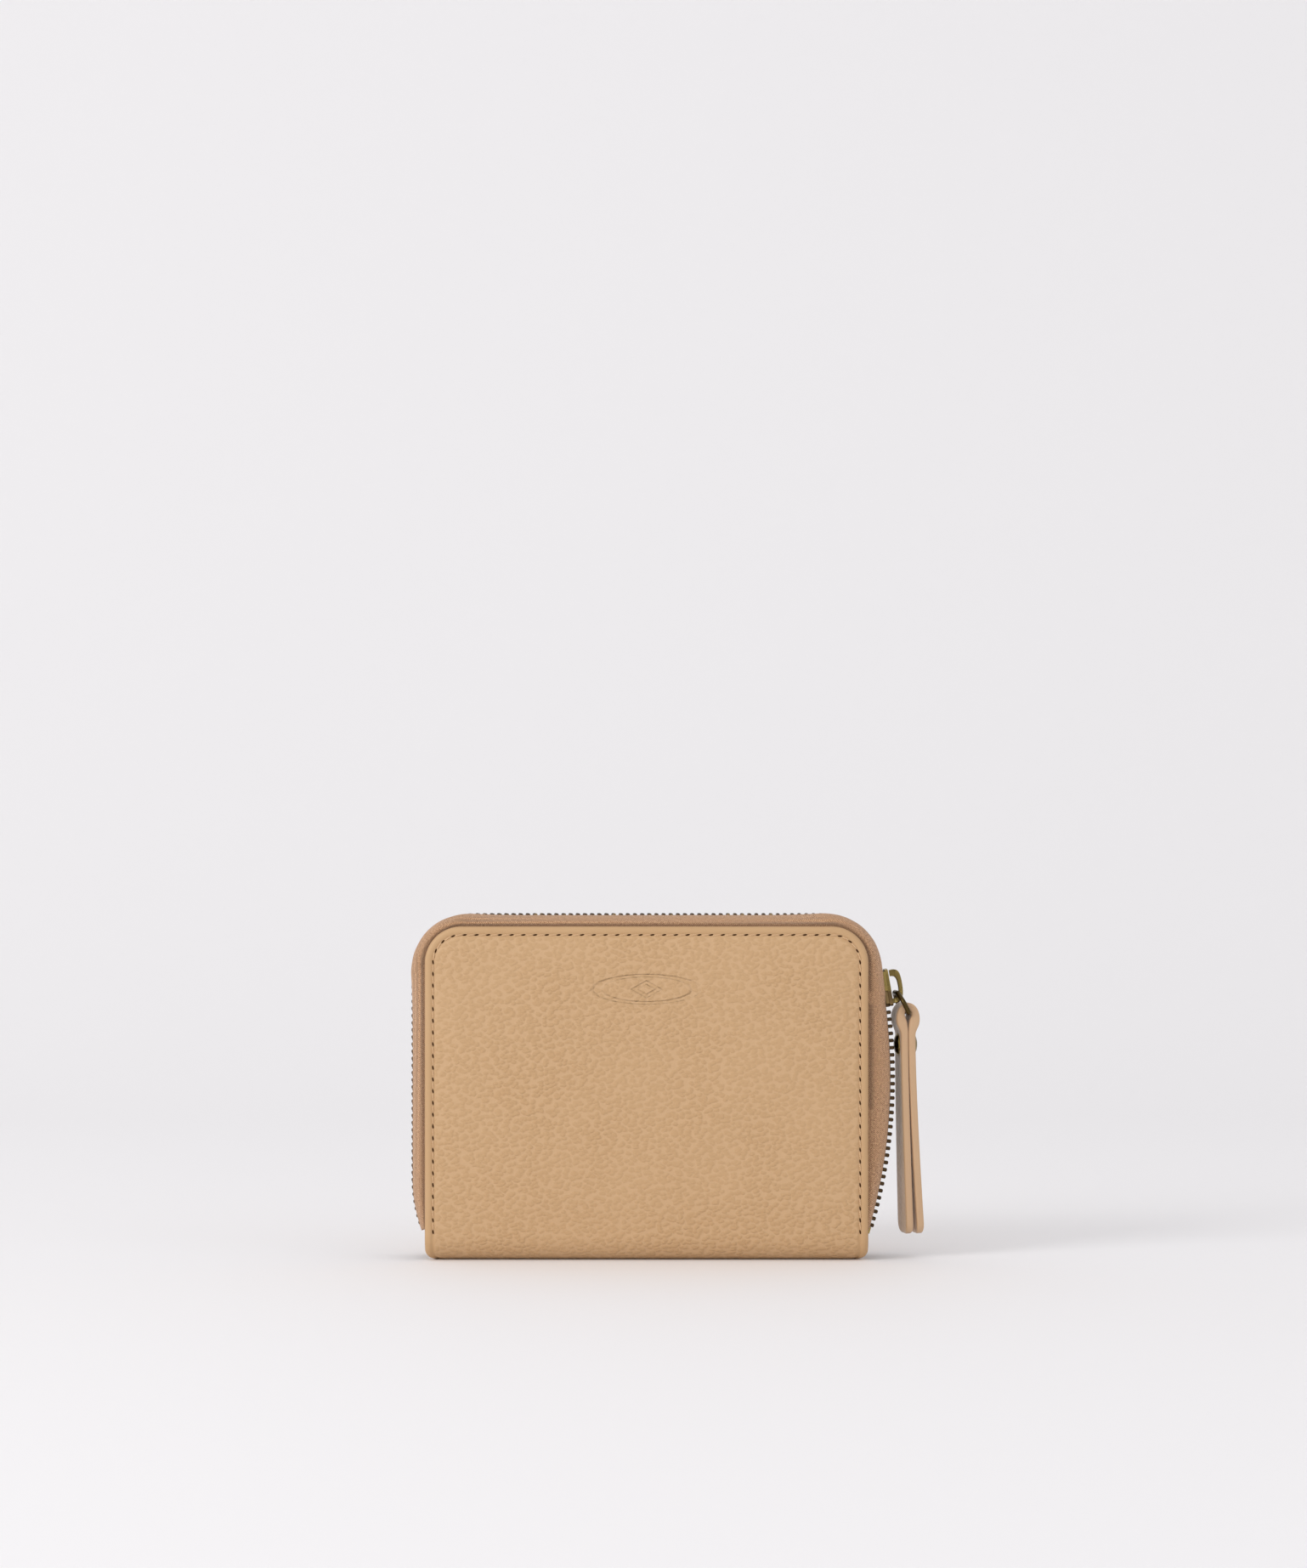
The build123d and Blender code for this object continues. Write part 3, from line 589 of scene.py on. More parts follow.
# Pricked hole: a flat dark lens on the leather, dull and dark brown, for the raw compressed fibre and for
# painted shade in the hole's depth.
hole_fibre_and_painted_shade, tree = new_material("pricked_hole_fibre_and_painted_shade")
hole_noise = add(
    tree, "ShaderNodeTexNoise",
    {"Vector": add(tree, "ShaderNodeTexCoord").outputs["Object"], "Scale": 2500.0},
)
hole_colour = add(
    tree, "ShaderNodeMix",
    {"Factor": hole_noise.outputs["Fac"], "A": linear("#331D0E"), "B": linear("#4A2E19")},
    data_type="RGBA",
)
hole_shader = add(
    tree, "ShaderNodeBsdfPrincipled",
    {"Base Color": hole_colour.outputs["Result"], "Roughness": 0.95, "Specular IOR Level": 0.05},
)
add(tree, "ShaderNodeOutputMaterial", {"Surface": hole_shader.outputs[0]})

along_row = row_tree("row_along_a_path")
for cover, side in (("front", -1), ("back", 1)):
    arch = [
        (-1.16, 0.2, 0.05), (-1.08, 0.13, 0.13), (-0.8, 0.05, 0.2), (-0.3, 0.01, 0.22),
        (0.3, 0.01, 0.22), (0.8, 0.05, 0.2), (1.08, 0.13, 0.13), (1.16, 0.2, 0.05),
    ]
    rings = [(x, -side * y, 0.22 * x * 0.5, r * 0.8, r) for x, y, r in arch]
    stitch_unit = solid_piece("stitch_unit", *capsule(rings, 7), thread)
    seam = row_piece(
        f"{cover}_seam_thread", seam_path("seam", side), stitch_unit, along_row,
        Pitch=STITCH_PITCH * MM, Start=0.5, Wobble=0.03, Finish=thread,
    )
    bpy.data.objects.remove(stitch_unit)
    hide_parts(f"{cover}_stitching")
    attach(seam, f"{cover}_cover")
    lens = [(-0.6, 0.03), (-0.48, 0.13), (-0.2, 0.205), (0.2, 0.205), (0.48, 0.13), (0.6, 0.03)]
    rings = [(x, side * 0.01, x * 0.16, r * 0.3, r) for x, r in lens]
    hole_unit = solid_piece("hole_unit", *capsule(rings, 8), hole_fibre_and_painted_shade)
    holes = row_piece(
        f"{cover}_seam_holes", seam_path("seam", side), hole_unit, along_row,
        Pitch=STITCH_PITCH * MM, Start=0.0, Wobble=0.05, Finish=hole_fibre_and_painted_shade,
    )
    bpy.data.objects.remove(hole_unit)
    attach(holes, f"{cover}_cover")


# Zip tapes: herringbone polyester 0.5 mm thick, sewn flat between leather and lining, then turned
# outwards in a soft bulge so the teeth meet in the middle. Below the slider the two part.

CHAIN_LEFT, CHAIN_TOP, CHAIN_RIGHT, CHAIN_FOOT = -63.7, 93.8, 66.8, 6.0
CHAIN_CORNER = 16.5
RIGHT_RADIUS, RIGHT_MIDDLE = 147.0, 50.0
END_RADIUS, END_START = 40.0, 22.0
SLIDER_HEIGHT = 74.2
OPEN_SHIFT = 1.25

corner_z = CHAIN_TOP - CHAIN_CORNER
run_x = CHAIN_RIGHT - RIGHT_RADIUS
right_reach = RIGHT_RADIUS - CHAIN_CORNER
right_x = run_x + math.sqrt(right_reach**2 - (corner_z - RIGHT_MIDDLE) ** 2)
right_turn = math.asin((corner_z - RIGHT_MIDDLE) / right_reach)
foot_turn = math.asin((CHAIN_FOOT - RIGHT_MIDDLE) / RIGHT_RADIUS)
end_turn = math.asin((END_START - CHAIN_FOOT) / END_RADIUS)
left_x = CHAIN_LEFT + CHAIN_CORNER
run_lengths = (
    END_RADIUS * end_turn,
    corner_z - END_START,
    CHAIN_CORNER * math.pi / 2,
    right_x - left_x,
    CHAIN_CORNER * (math.pi / 2 - right_turn),
    RIGHT_RADIUS * (right_turn - foot_turn),
)
RUN_LENGTH = sum(run_lengths)
slider_turn = math.asin((SLIDER_HEIGHT - RIGHT_MIDDLE) / RIGHT_RADIUS)
SLIDER_AT = RUN_LENGTH - RIGHT_RADIUS * (slider_turn - foot_turn)


def on_run(s):
    """Place s mm along the chain: its x and z, the outward direction, and how much it is a corner."""
    part = 0
    while part < 5 and s > run_lengths[part]:
        s -= run_lengths[part]
        part += 1
    share = s / run_lengths[part]
    if part == 0:
        angle = math.pi + end_turn * (1 - share)
        middle, radius = (CHAIN_LEFT + END_RADIUS, END_START), END_RADIUS
    elif part == 1:
        return (CHAIN_LEFT, END_START + s), (-1.0, 0.0), part, share
    elif part == 2:
        angle, middle, radius = math.pi * (1 - share / 2), (left_x, corner_z), CHAIN_CORNER
    elif part == 3:
        return (left_x + s, CHAIN_TOP), (0.0, 1.0), part, share
    elif part == 4:
        angle = math.pi / 2 - share * (math.pi / 2 - right_turn)
        middle, radius = (right_x, corner_z), CHAIN_CORNER
    else:
        angle = right_turn + share * (foot_turn - right_turn)
        middle, radius = (run_x, RIGHT_MIDDLE), RIGHT_RADIUS
    way = (math.cos(angle), math.sin(angle))
    return (middle[0] + radius * way[0], middle[1] + radius * way[1]), way, part, share


def on_panel(part, share, z, inset):
    """Place on the cover's outline, set in, that the same stretch of tape is sewn to."""
    lift = (TOP - CORNER) / corner_z
    if part in (0, 1):
        return -HALF_WIDTH + inset, min(z * lift, TOP - CORNER)
    if part == 3:
        return (2 * share - 1) * (HALF_WIDTH - CORNER), TOP - inset
    if part == 5:
        high = corner_z + CHAIN_CORNER * math.sin(right_turn)
        return HALF_WIDTH - inset, z * (TOP - CORNER) / high
    angle = math.pi * (1 - share / 2) if part == 2 else math.pi / 2 * (1 - share)
    radius = CORNER - inset
    side = -1 if part == 2 else 1
    return (
        side * (HALF_WIDTH - CORNER) + radius * math.cos(angle),
        TOP - CORNER + radius * math.sin(angle),
    )


def parting(s):
    """How far each row stands back from the closed line, s mm along the chain."""
    past = s - SLIDER_AT
    opened = min(max((past + 1.5) / 3.5, 0), 1)
    left = min(max((RUN_LENGTH - s) / 60, 0), 1)
    return OPEN_SHIFT * opened * opened * (3 - 2 * opened) + 0.9 * math.sin(math.pi * left) * opened


PIVOT = 1.9
CLOSED_ROLL, OPEN_ROLL = -0.14, 0.3


def row_stand(s, side):
    """Roll of a row's teeth, and the place of the tape's edge: how far out and to its own side.

    The closed chain leans back a little. Below the slider each row rolls outwards.
    """
    opened = min(max((s - SLIDER_AT + 1.5) / 6.0, 0), 1)
    opened *= opened * (3 - 2 * opened)
    roll = CLOSED_ROLL * (1 - opened) - side * OPEN_ROLL * opened
    out = side * PIVOT * math.sin(CLOSED_ROLL) * (1 - opened) + (-0.1 if side < 0 else -1.3) * opened
    return roll, out, PIVOT + parting(s), opened


def near_corner(s):
    """1 at the middle of a top corner, falling to 0 on the straight stretches."""
    first = sum(run_lengths[:2]) + run_lengths[2] / 2
    second = sum(run_lengths[:4]) + run_lengths[4] / 2
    return max(math.exp(-((s - m) / 13) ** 2) for m in (first, second))


ACROSS = 18


def tape_section(s, side):
    """Points across one tape in millimetres from the sewn edge to the chain, as on the front."""
    (x, z), (out_x, out_z), part, share = on_run(s)
    roll, stand, edge, opened = row_stand(s, side)
    bend = near_corner(s)
    section = []
    for inset in (5.0, 2.6, 0.9):
        px, pz = on_panel(part, share, z, inset)
        section.append((px, -8.35, pz))
    px, pz = on_panel(part, share, z, 0.0)
    wander = noise.noise(Vector((s / 9, 4.7, 1.3))) * 0.5 + 0.35 * bend * math.sin(s * 1.15)
    far = math.hypot(x - px, z - pz)
    first = min(far * 0.85, 4.2) + 0.9 * bend
    belly = 0.75 + 2.2 * bend + 0.15 * wander - side * 0.2
    start = Vector((px, -8.3, pz))
    out = Vector((out_x, 0, out_z))
    grip = Vector((0, math.cos(roll), 0)) - out * side * math.sin(roll)
    end = Vector((x, -edge, z)) + out * stand + grip * 0.6
    toward = (Vector((x, 0, z)) - Vector((px, 0, pz))).normalized()
    one = start + toward * first + Vector((0, 0.22 * max(far - 2.2, 0) - 1.1 * bend, 0))
    closed = Vector((0, -3.2 - 0.5 * bend, 0)) + out * belly
    lean = abs(roll)
    flared = Vector((0, -2.6 * math.cos(lean), 0)) - out * (2.6 * math.sin(lean) - 1.1)
    two = end + closed.lerp(flared, opened)
    for i in range(1, ACROSS + 1):
        t = i / ACROSS
        p = start * (1 - t) ** 3 + one * 3 * t * (1 - t) ** 2 + two * 3 * t * t * (1 - t) + end * t**3
        section.append(tuple(p))
    return section


# Herringbone tape: polyester yarns 0.54 mm apart in chevrons 1.9 mm wide. They are drawn from the
# tape's own UV, which holds millimetres along and across.
weave, tree = new_material("herringbone_polyester_tape_tan")
cloth = add(tree, "ShaderNodeUVMap", uv_map="cloth")
cloth_part = add(tree, "ShaderNodeSeparateXYZ", {"Vector": cloth.outputs["UV"]})
CHEVRON = 1.9
YARN = 0.54
rib = add(
    tree, "ShaderNodeMath", {0: cloth_part.outputs["Y"], 1: CHEVRON / 2}, operation="PINGPONG"
)
slant = add(tree, "ShaderNodeMath", {0: rib.outputs[0], 1: cloth_part.outputs["X"]}, operation="ADD")
yarn_turn = add(
    tree, "ShaderNodeMath", {0: slant.outputs[0], 1: 2 * math.pi / YARN}, operation="MULTIPLY"
)
yarn = add(tree, "ShaderNodeMath", {0: yarn_turn.outputs[0]}, operation="SINE")
rib_turn = add(
    tree, "ShaderNodeMath", {0: cloth_part.outputs["Y"], 1: 4 * math.pi / CHEVRON}, operation="MULTIPLY"
)
valley = add(tree, "ShaderNodeMath", {0: rib_turn.outputs[0]}, operation="COSINE")
relief = add(tree, "ShaderNodeMath", {0: valley.outputs[0], 1: 0.1}, operation="MULTIPLY")
relief = add(tree, "ShaderNodeMath", {0: yarn.outputs[0], 1: relief.outputs[0]}, operation="SUBTRACT")
weave_bump = add(
    tree, "ShaderNodeBump", {"Height": relief.outputs[0], "Distance": 0.1 * MM, "Strength": 1.0}
)
speckle = add(tree, "ShaderNodeTexNoise", {"Vector": cloth.outputs["UV"], "Scale": 1.9, "Detail": 3.0})
speckle = add(tree, "ShaderNodeMath", {0: speckle.outputs["Fac"], 1: 6.0}, operation="MULTIPLY")
relief = add(tree, "ShaderNodeMath", {0: relief.outputs[0], 1: speckle.outputs[0]}, operation="ADD")
relief = add(tree, "ShaderNodeMath", {0: relief.outputs[0], 1: 3.0}, operation="SUBTRACT")
shade = add(
    tree, "ShaderNodeMapRange",
    {"Value": relief.outputs[0], "From Min": -1.3, "From Max": 1.3, "To Min": 0.0, "To Max": 1.0},
)
fade = add(
    tree, "ShaderNodeTexNoise",
    {"Vector": add(tree, "ShaderNodeTexCoord").outputs["Object"], "Scale": 120.0, "Detail": 3.0},
)
yarn_colour = add(
    tree, "ShaderNodeMix",
    {"Factor": shade.outputs["Result"], "A": linear("#A0704A"), "B": linear("#ECBD90")},
    data_type="RGBA",
)
dusty = add(
    tree, "ShaderNodeMapRange",
    {"Value": fade.outputs["Fac"], "From Min": 0.35, "From Max": 0.8, "To Min": 0.0, "To Max": 0.6},
)
weave_colour = add(
    tree, "ShaderNodeMix",
    {"Factor": dusty.outputs["Result"], "A": yarn_colour.outputs["Result"], "B": linear("#CF9D70")},
    data_type="RGBA",
)
# Painted shade: this attribute darkens the tape's corded edge, the underside of the parted fold and the strip
# pinched under the leather's edge.
cord_and_shade_attribute = add(tree, "ShaderNodeAttribute", attribute_name="cord_and_painted_shade")
weave_colour = add(
    tree, "ShaderNodeMix",
    {"Factor": cord_and_shade_attribute.outputs["Fac"], "A": weave_colour.outputs["Result"], "B": linear("#4A3222")},
    data_type="RGBA",
)
weave_shader = add(
    tree, "ShaderNodeBsdfPrincipled",
    {
        "Base Color": weave_colour.outputs["Result"],
        "Roughness": 0.8,
        "Sheen Weight": 0.25,
        "Sheen Roughness": 0.5,
        "Normal": weave_bump.outputs["Normal"],
    },
)
add(tree, "ShaderNodeOutputMaterial", {"Surface": weave_shader.outputs[0]})

TAPE_THICK = 0.5
stations = np.linspace(2.3, RUN_LENGTH - 2.3, 330)
for cover, side in (("front", -1), ("back", 1)):
    sections = [tape_section(s, side) for s in stations]
    widths = []
    for section in sections:
        steps = [0.0]
        for a, b in zip(section, section[1:]):
            steps.append(steps[-1] + math.dist(a, b))
        widths.append(steps)
    columns = len(sections[0])
    points = [(x, -side * y, z) for section in sections for x, y, z in section]
    faces = []
    for r in range(len(sections) - 1):
        for c in range(columns - 1):
            a = r * columns + c
            quad = (a, a + columns, a + columns + 1, a + 1)
            faces.append(quad if side < 0 else tuple(reversed(quad)))
    tape = solid_piece(f"{cover}_zip_cloth", points, faces, weave)
    layer = tape.data.uv_layers.new(name="cloth")
    for loop in tape.data.loops:
        r, c = divmod(loop.vertex_index, columns)
        layer.data[loop.index].uv = (stations[r], widths[r][c])
    cord_and_shade_tone = []
    for s, section in zip(stations, sections):
        # The last columns darken the corded edge, partly its own darker cord and partly painted shade; columns 3
        # and 4 get painted shade where the tape is pinched under the leather.
        tuck = 0.55 if math.dist(section[3], section[-1]) > 7 else 0.2
        # On the parted stretch the dark band begins at the outermost point of the fold: painted shade where the
        # tape turns under.
        crest = max(range(columns), key=lambda c: section[c][0]) if row_stand(s, side)[3] > 0.5 else columns
        cord_and_shade_tone += [
            max(min(max(c - columns + 6, 0) / 2, 1), 0.85 * (c >= crest))
            + (tuck if c == 3 else tuck * 0.5 if c == 4 else 0)
            for c in range(columns)
        ]
    cord_and_painted_shade = tape.data.attributes.new("cord_and_painted_shade", "FLOAT", "POINT")
    cord_and_painted_shade.data.foreach_set("value", cord_and_shade_tone)
    wall = tape.modifiers.new("thickness", "SOLIDIFY")
    wall.thickness = TAPE_THICK * MM
    wall.offset = 0
    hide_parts(f"{cover}_zip_tape")
    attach(tape, f"{cover}_cover")


# Zip teeth: stamped brass with an aged finish, clamped on the corded edge of each tape, in a darker copy of the
# brass that is partly painted shade. Every tooth has a wide jaw and a narrower head with a dimple that takes the
# next tooth of the other row.

TOOTH_PITCH = 1.97

# Antique brass: plated, then darkened in a bath and rubbed back, so the recesses are nearly black
# olive and the edges a warm yellow.
brass, tree = new_material("antiqued_brass_plate")
brass_place = add(tree, "ShaderNodeTexCoord").outputs["Object"]
cloud = add(tree, "ShaderNodeTexNoise", {"Vector": brass_place, "Scale": 700.0, "Detail": 5.0})
scratch = add(tree, "ShaderNodeTexNoise", {"Vector": brass_place, "Scale": 4200.0, "Detail": 2.0})
worn = add(tree, "ShaderNodeNewGeometry")
rubbed = add(
    tree, "ShaderNodeMapRange",
    {"Value": worn.outputs["Pointiness"], "From Min": 0.49, "From Max": 0.58},
    interpolation_type="SMOOTHSTEP",
)
brass_dark = add(
    tree, "ShaderNodeMix",
    {"Factor": cloud.outputs["Fac"], "A": linear("#3D3019"), "B": linear("#625230")},
    data_type="RGBA",
)
brass_colour = add(
    tree, "ShaderNodeMix",
    {"Factor": rubbed.outputs["Result"], "A": brass_dark.outputs["Result"], "B": linear("#B09A5C")},
    data_type="RGBA",
)
brass_rough = add(
    tree, "ShaderNodeMapRange",
    {"Value": cloud.outputs["Fac"], "From Min": 0.3, "From Max": 0.7, "To Min": 0.24, "To Max": 0.4},
)
brass_bump = add(
    tree, "ShaderNodeBump",
    {"Height": scratch.outputs["Fac"], "Distance": 0.01 * MM, "Strength": 0.35},
)
brass_shader = add(
    tree, "ShaderNodeBsdfPrincipled",
    {
        "Base Color": brass_colour.outputs["Result"],
        "Metallic": 1.0,
        "Roughness": brass_rough.outputs["Result"],
        "Normal": brass_bump.outputs["Normal"],
    },
)
add(tree, "ShaderNodeOutputMaterial", {"Surface": brass_shader.outputs[0]})


# A darker copy of the brass. On the teeth it is their aged finish, darkened further as painted shade; on the
# slider's lower side walls it is painted shade in the mouth.
aged_and_shaded_brass = brass.copy()
aged_and_shaded_brass.name = "tarnished_brass_teeth"
dull = aged_and_shaded_brass.node_tree
for node in dull.nodes:
    if node.type == "MIX" and node.inputs["Factor"].links[0].from_node.type == "TEX_NOISE":
        node.inputs["A"].default_value = linear("#3A2C1E")
        node.inputs["B"].default_value = linear("#5F4C36")
    elif node.type == "MIX":
        node.inputs["B"].default_value = linear("#8C7550")


def chain_path(side):
    """Middle line of one row of teeth, with the stretch below the slider drawn back."""
    points, rolls = [], []
    for s in np.linspace(4.2, RUN_LENGTH - 3.6, 420):
        (x, z), (out_x, out_z), _, _ = on_run(s)
        roll, stand, edge, _ = row_stand(s, side)
        out = stand - side * PIVOT * math.sin(roll)
        points.append((x + out_x * out, side * (edge - PIVOT * math.cos(roll)), z + out_z * out))
        rolls.append(roll)
    return path_curve("chain", points, rolls)


# Half section of a tooth from the jaw to the head: (across, half thickness, half height).
TOOTH = (
    (2.42, 0.34, 0.72), (2.3, 0.48, 1.02), (1.9, 0.5, 1.12), (1.35, 0.5, 1.12), (1.05, 0.42, 0.95),
    (0.75, 0.36, 0.74), (0.2, 0.32, 0.72), (-0.1, 0.34, 0.74), (-0.28, 0.26, 0.62), (-0.36, 0.14, 0.4),
)
for cover, side in (("front", -1), ("back", 1)):
    points, faces = [], []
    for across, thick, tall in TOOTH:
        cut = min(thick, tall) * 0.45
        loop = [
            (thick, tall - cut), (thick - cut, tall), (-thick + cut, tall), (-thick, tall - cut),
            (-thick, -tall + cut), (-thick + cut, -tall), (thick - cut, -tall), (thick, -tall + cut),
        ]
        points += [(a, side * across, b) for a, b in loop]
    for r in range(len(TOOTH) - 1):
        for i in range(8):
            a, b = r * 8 + i, r * 8 + (i + 1) % 8
            faces.append((a, a + 8, b + 8, b))
    faces.append(tuple(range(8)))
    faces.append(tuple(range(len(points) - 1, len(points) - 9, -1)))
    if side < 0:
        faces = [tuple(reversed(f)) for f in faces]
    tooth = solid_piece("tooth_unit", points, faces, aged_and_shaded_brass)
    chain = row_piece(
        f"{cover}_chain", chain_path(side), tooth, along_row,
        Pitch=TOOTH_PITCH * MM, Start=0.0 if side < 0 else 0.5,
        Wobble=0.015, Finish=aged_and_shaded_brass,
    )
    bpy.data.objects.remove(tooth)
    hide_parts(f"{cover}_zip_teeth")
    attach(chain, f"{cover}_cover")


# Slider: die-cast and antiqued. Two plates joined by a post inside, flanges that hold the two
# rows, and a bent bridge on top that carries the ring.

run_place, run_way, _, _ = on_run(SLIDER_AT)
slider_frame = Matrix(
    (
        (run_way[1], 0, run_way[0], run_place[0]),
        (0, 1, 0, 0),
        (-run_way[0], 0, run_way[1], run_place[1]),
        (0, 0, 0, 1),
    )
)


def placed(points, matrix):
    return [tuple(matrix @ Vector(p)) for p in points]


def slab(outline, low, high):
    """Closed slab over a plan outline that runs anticlockwise."""
    count = len(outline)
    points = [(x, y, low) for x, y in outline] + [(x, y, high) for x, y in outline]
    faces = [(i, (i + 1) % count, (i + 1) % count + count, i + count) for i in range(count)]
    return points, faces + [tuple(range(count - 1, -1, -1)), tuple(range(count, 2 * count))]


def rounded(corners, radius, steps=5):
    """Closed outline with its corners rounded by quadratic turns."""
    outline = []
    for i, corner in enumerate(corners):
        corner = Vector(corner)
        before = Vector(corners[i - 1]) - corner
        after = Vector(corners[(i + 1) % len(corners)]) - corner
        a = corner + before.normalized() * min(radius, before.length * 0.45)
        b = corner + after.normalized() * min(radius, after.length * 0.45)
        for k in range(steps + 1):
            t = k / steps
            outline.append(tuple(a * (1 - t) ** 2 + corner * 2 * t * (1 - t) + b * t * t))
    return outline


def joined(parts):
    points, faces = [], []
    for more, turned in parts:
        base = len(points)
        points += more
        faces += [tuple(i + base for i in face) for face in turned]
    return points, faces


def softened(piece, width, segments=3):
    edge = piece.modifiers.new("edge", "BEVEL")
    edge.width = width * MM
    edge.segments = segments
    edge.limit_method = "ANGLE"
    edge.angle_limit = math.radians(35)
    edge.harden_normals = False
    return piece


plate = rounded(
    [(-5.1, -3.7), (-0.5, -4.5), (1.4, -4.5), (5.1, -4.4), (5.1, 4.4), (1.4, 4.5), (-0.5, 4.5), (-5.1, 3.7)], 1.5
)
slider_parts = [slab(plate, 1.35, 2.45), slab(plate, -2.35, -1.35)]
for side in (-1, 1):
    rail = [(-4.6, side * 3.2), (-4.6, side * 3.95), (-0.8, side * 4.5), (0.7, side * 4.5), (0.7, side * 3.8)]
    rail = rail[::-1] if side > 0 else rail
    slider_parts += [slab(rail, 0.32, 1.6), slab(rail, -1.6, -0.32)]
    shoulder = [(0.75, side * 4.3), (4.3, side * 4.2), (4.3, side * 3.8), (0.75, side * 3.8)]
    shoulder = shoulder[::-1] if side > 0 else shoulder
    slider_parts += [slab(shoulder, 0.32, 1.6), slab(shoulder, -1.6, -0.32)]
post = [(2.4, -0.3), (3.4, -0.65), (4.6, -0.55), (4.6, 0.55), (3.4, 0.65), (2.4, 0.3)]
slider_parts.append(slab(rounded(post, 0.4), -1.6, 1.6))
points, faces = joined(slider_parts)
shell = solid_piece("slider_shell", placed(points, slider_frame), faces, brass)
shell.data.materials.append(aged_and_shaded_brass)
# Painted shade: the side walls of the plates' lower half, at the mouth, take the darker brass.
for wall in shell.data.polygons:
    middle = Vector([sum(points[i][k] for i in wall.vertices) / len(wall.vertices) for k in range(3)])
    wall.material_index = 1 if middle.x > 0.8 and abs(middle.y) > 3.0 else 0
softened(shell, 0.18)
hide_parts("slider_body")
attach(shell, "zip_slider")

# Side view of the bridge, from its free end over to the root: along the run and above the plates.
BRIDGE_OUTER = (
    (-4.6, 2.85), (-4.7, 4.2), (-4.1, 5.4), (-2.2, 5.85), (1.2, 5.85), (3.6, 5.4), (4.6, 4.0), (4.6, 2.2),
)
BRIDGE_INNER = (
    (-2.9, 2.85), (-2.9, 3.4), (-2.6, 4.1), (-1.5, 4.6), (1.0, 4.65), (2.6, 4.3), (3.3, 3.4), (3.3, 2.2),
)
BRIDGE_WIDTH = 2.2


def eased(outline, rounds=3):
    """Corner-cut a line of points and keep its ends."""
    for _ in range(rounds):
        cut = [outline[0]]
        for a, b in zip(outline, outline[1:]):
            cut.append(tuple(0.75 * p + 0.25 * q for p, q in zip(a, b)))
            cut.append(tuple(0.25 * p + 0.75 * q for p, q in zip(a, b)))
        outline = cut + [outline[-1]]
    return outline


arch = [a + b for a, b in zip(eased(BRIDGE_OUTER), eased(BRIDGE_INNER))]
points, faces = [], []
for outer_x, outer_z, inner_x, inner_z in arch:
    half = BRIDGE_WIDTH / 2
    points += [
        (outer_x, -half * 0.8, outer_z), (outer_x * 0.97, -half, (outer_z * 2 + inner_z) / 3),
        ((inner_x * 2 + outer_x) / 3, -half, (inner_z * 2 + outer_z) / 3), (inner_x, -half * 0.85, inner_z),
        (inner_x, half * 0.85, inner_z), ((inner_x * 2 + outer_x) / 3, half, (inner_z * 2 + outer_z) / 3),
        (outer_x * 0.97, half, (outer_z * 2 + inner_z) / 3), (outer_x, half * 0.8, outer_z),
    ]
for r in range(len(arch) - 1):
    for i in range(8):
        a, b = r * 8 + i, r * 8 + (i + 1) % 8
        faces.append((a, b, b + 8, a + 8))
faces.append(tuple(range(7, -1, -1)))
faces.append(tuple(range(len(points) - 8, len(points))))
bridge = softened(solid_piece("slider_bridge", placed(points, slider_frame), faces, brass), 0.08, 2)
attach(bridge, "zip_slider")


# Ring: brass wire 1.3 mm thick, bent to a shouldered loop. Its narrow top hangs in the bridge and
# its wide lower bar carries the strap.

SWIVEL = math.radians(7)
RING_TILT = math.radians(26)
RING_LENGTH = 6.0
WIRE = 0.65
hang = slider_frame @ Vector((1.8, 0, 3.8))
outward = Vector((math.cos(SWIVEL), math.sin(SWIVEL), 0))
across = Vector((-math.sin(SWIVEL), math.cos(SWIVEL), 0))
ring_down = outward * math.sin(RING_TILT) - Vector((0, 0, math.cos(RING_TILT)))
bar = hang + ring_down * RING_LENGTH
loop = rounded([(-2.6, 0), (-5.6, -2.6), (-5.6, -6.0), (5.6, -6.0), (5.6, -2.6), (2.6, 0)], 1.2, 7)
loop_normal = across.cross(ring_down)
centres = [hang + across * a - ring_down * b for a, b in loop]
points, faces = [], []
SIDES = 14
for i, centre in enumerate(centres):
    ahead = (centres[(i + 1) % len(centres)] - centres[i - 1]).normalized()
    beside = ahead.cross(loop_normal).normalized()
    for k in range(SIDES):
        turn = 2 * math.pi * k / SIDES
        points.append(tuple(centre + (beside * math.cos(turn) + loop_normal * math.sin(turn)) * WIRE))
for i in range(len(centres)):
    for k in range(SIDES):
        a, b = i * SIDES + k, i * SIDES + (k + 1) % SIDES
        c = ((i + 1) % len(centres)) * SIDES
        faces.append((a, b, c + (k + 1) % SIDES, c + k))
ring = solid_piece("pull_ring_wire", points, faces, brass)
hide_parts("pull_link")
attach(ring, "pull_link")


# Strap: one strip of the same calf, 9 mm wide, folded over the ring's bar and held by a rivet.
# Its two plies spread below the rivet. The cut edges are sanded and painted in a paler tan.

STRAP_HALF, PLY = 4.5, 2.05
STRAP_DROP, RIVET_DROP = 61.3, 8.9
EYE, EYE_DROP, EYE_RISE = 2.05, 0.9, 2.6

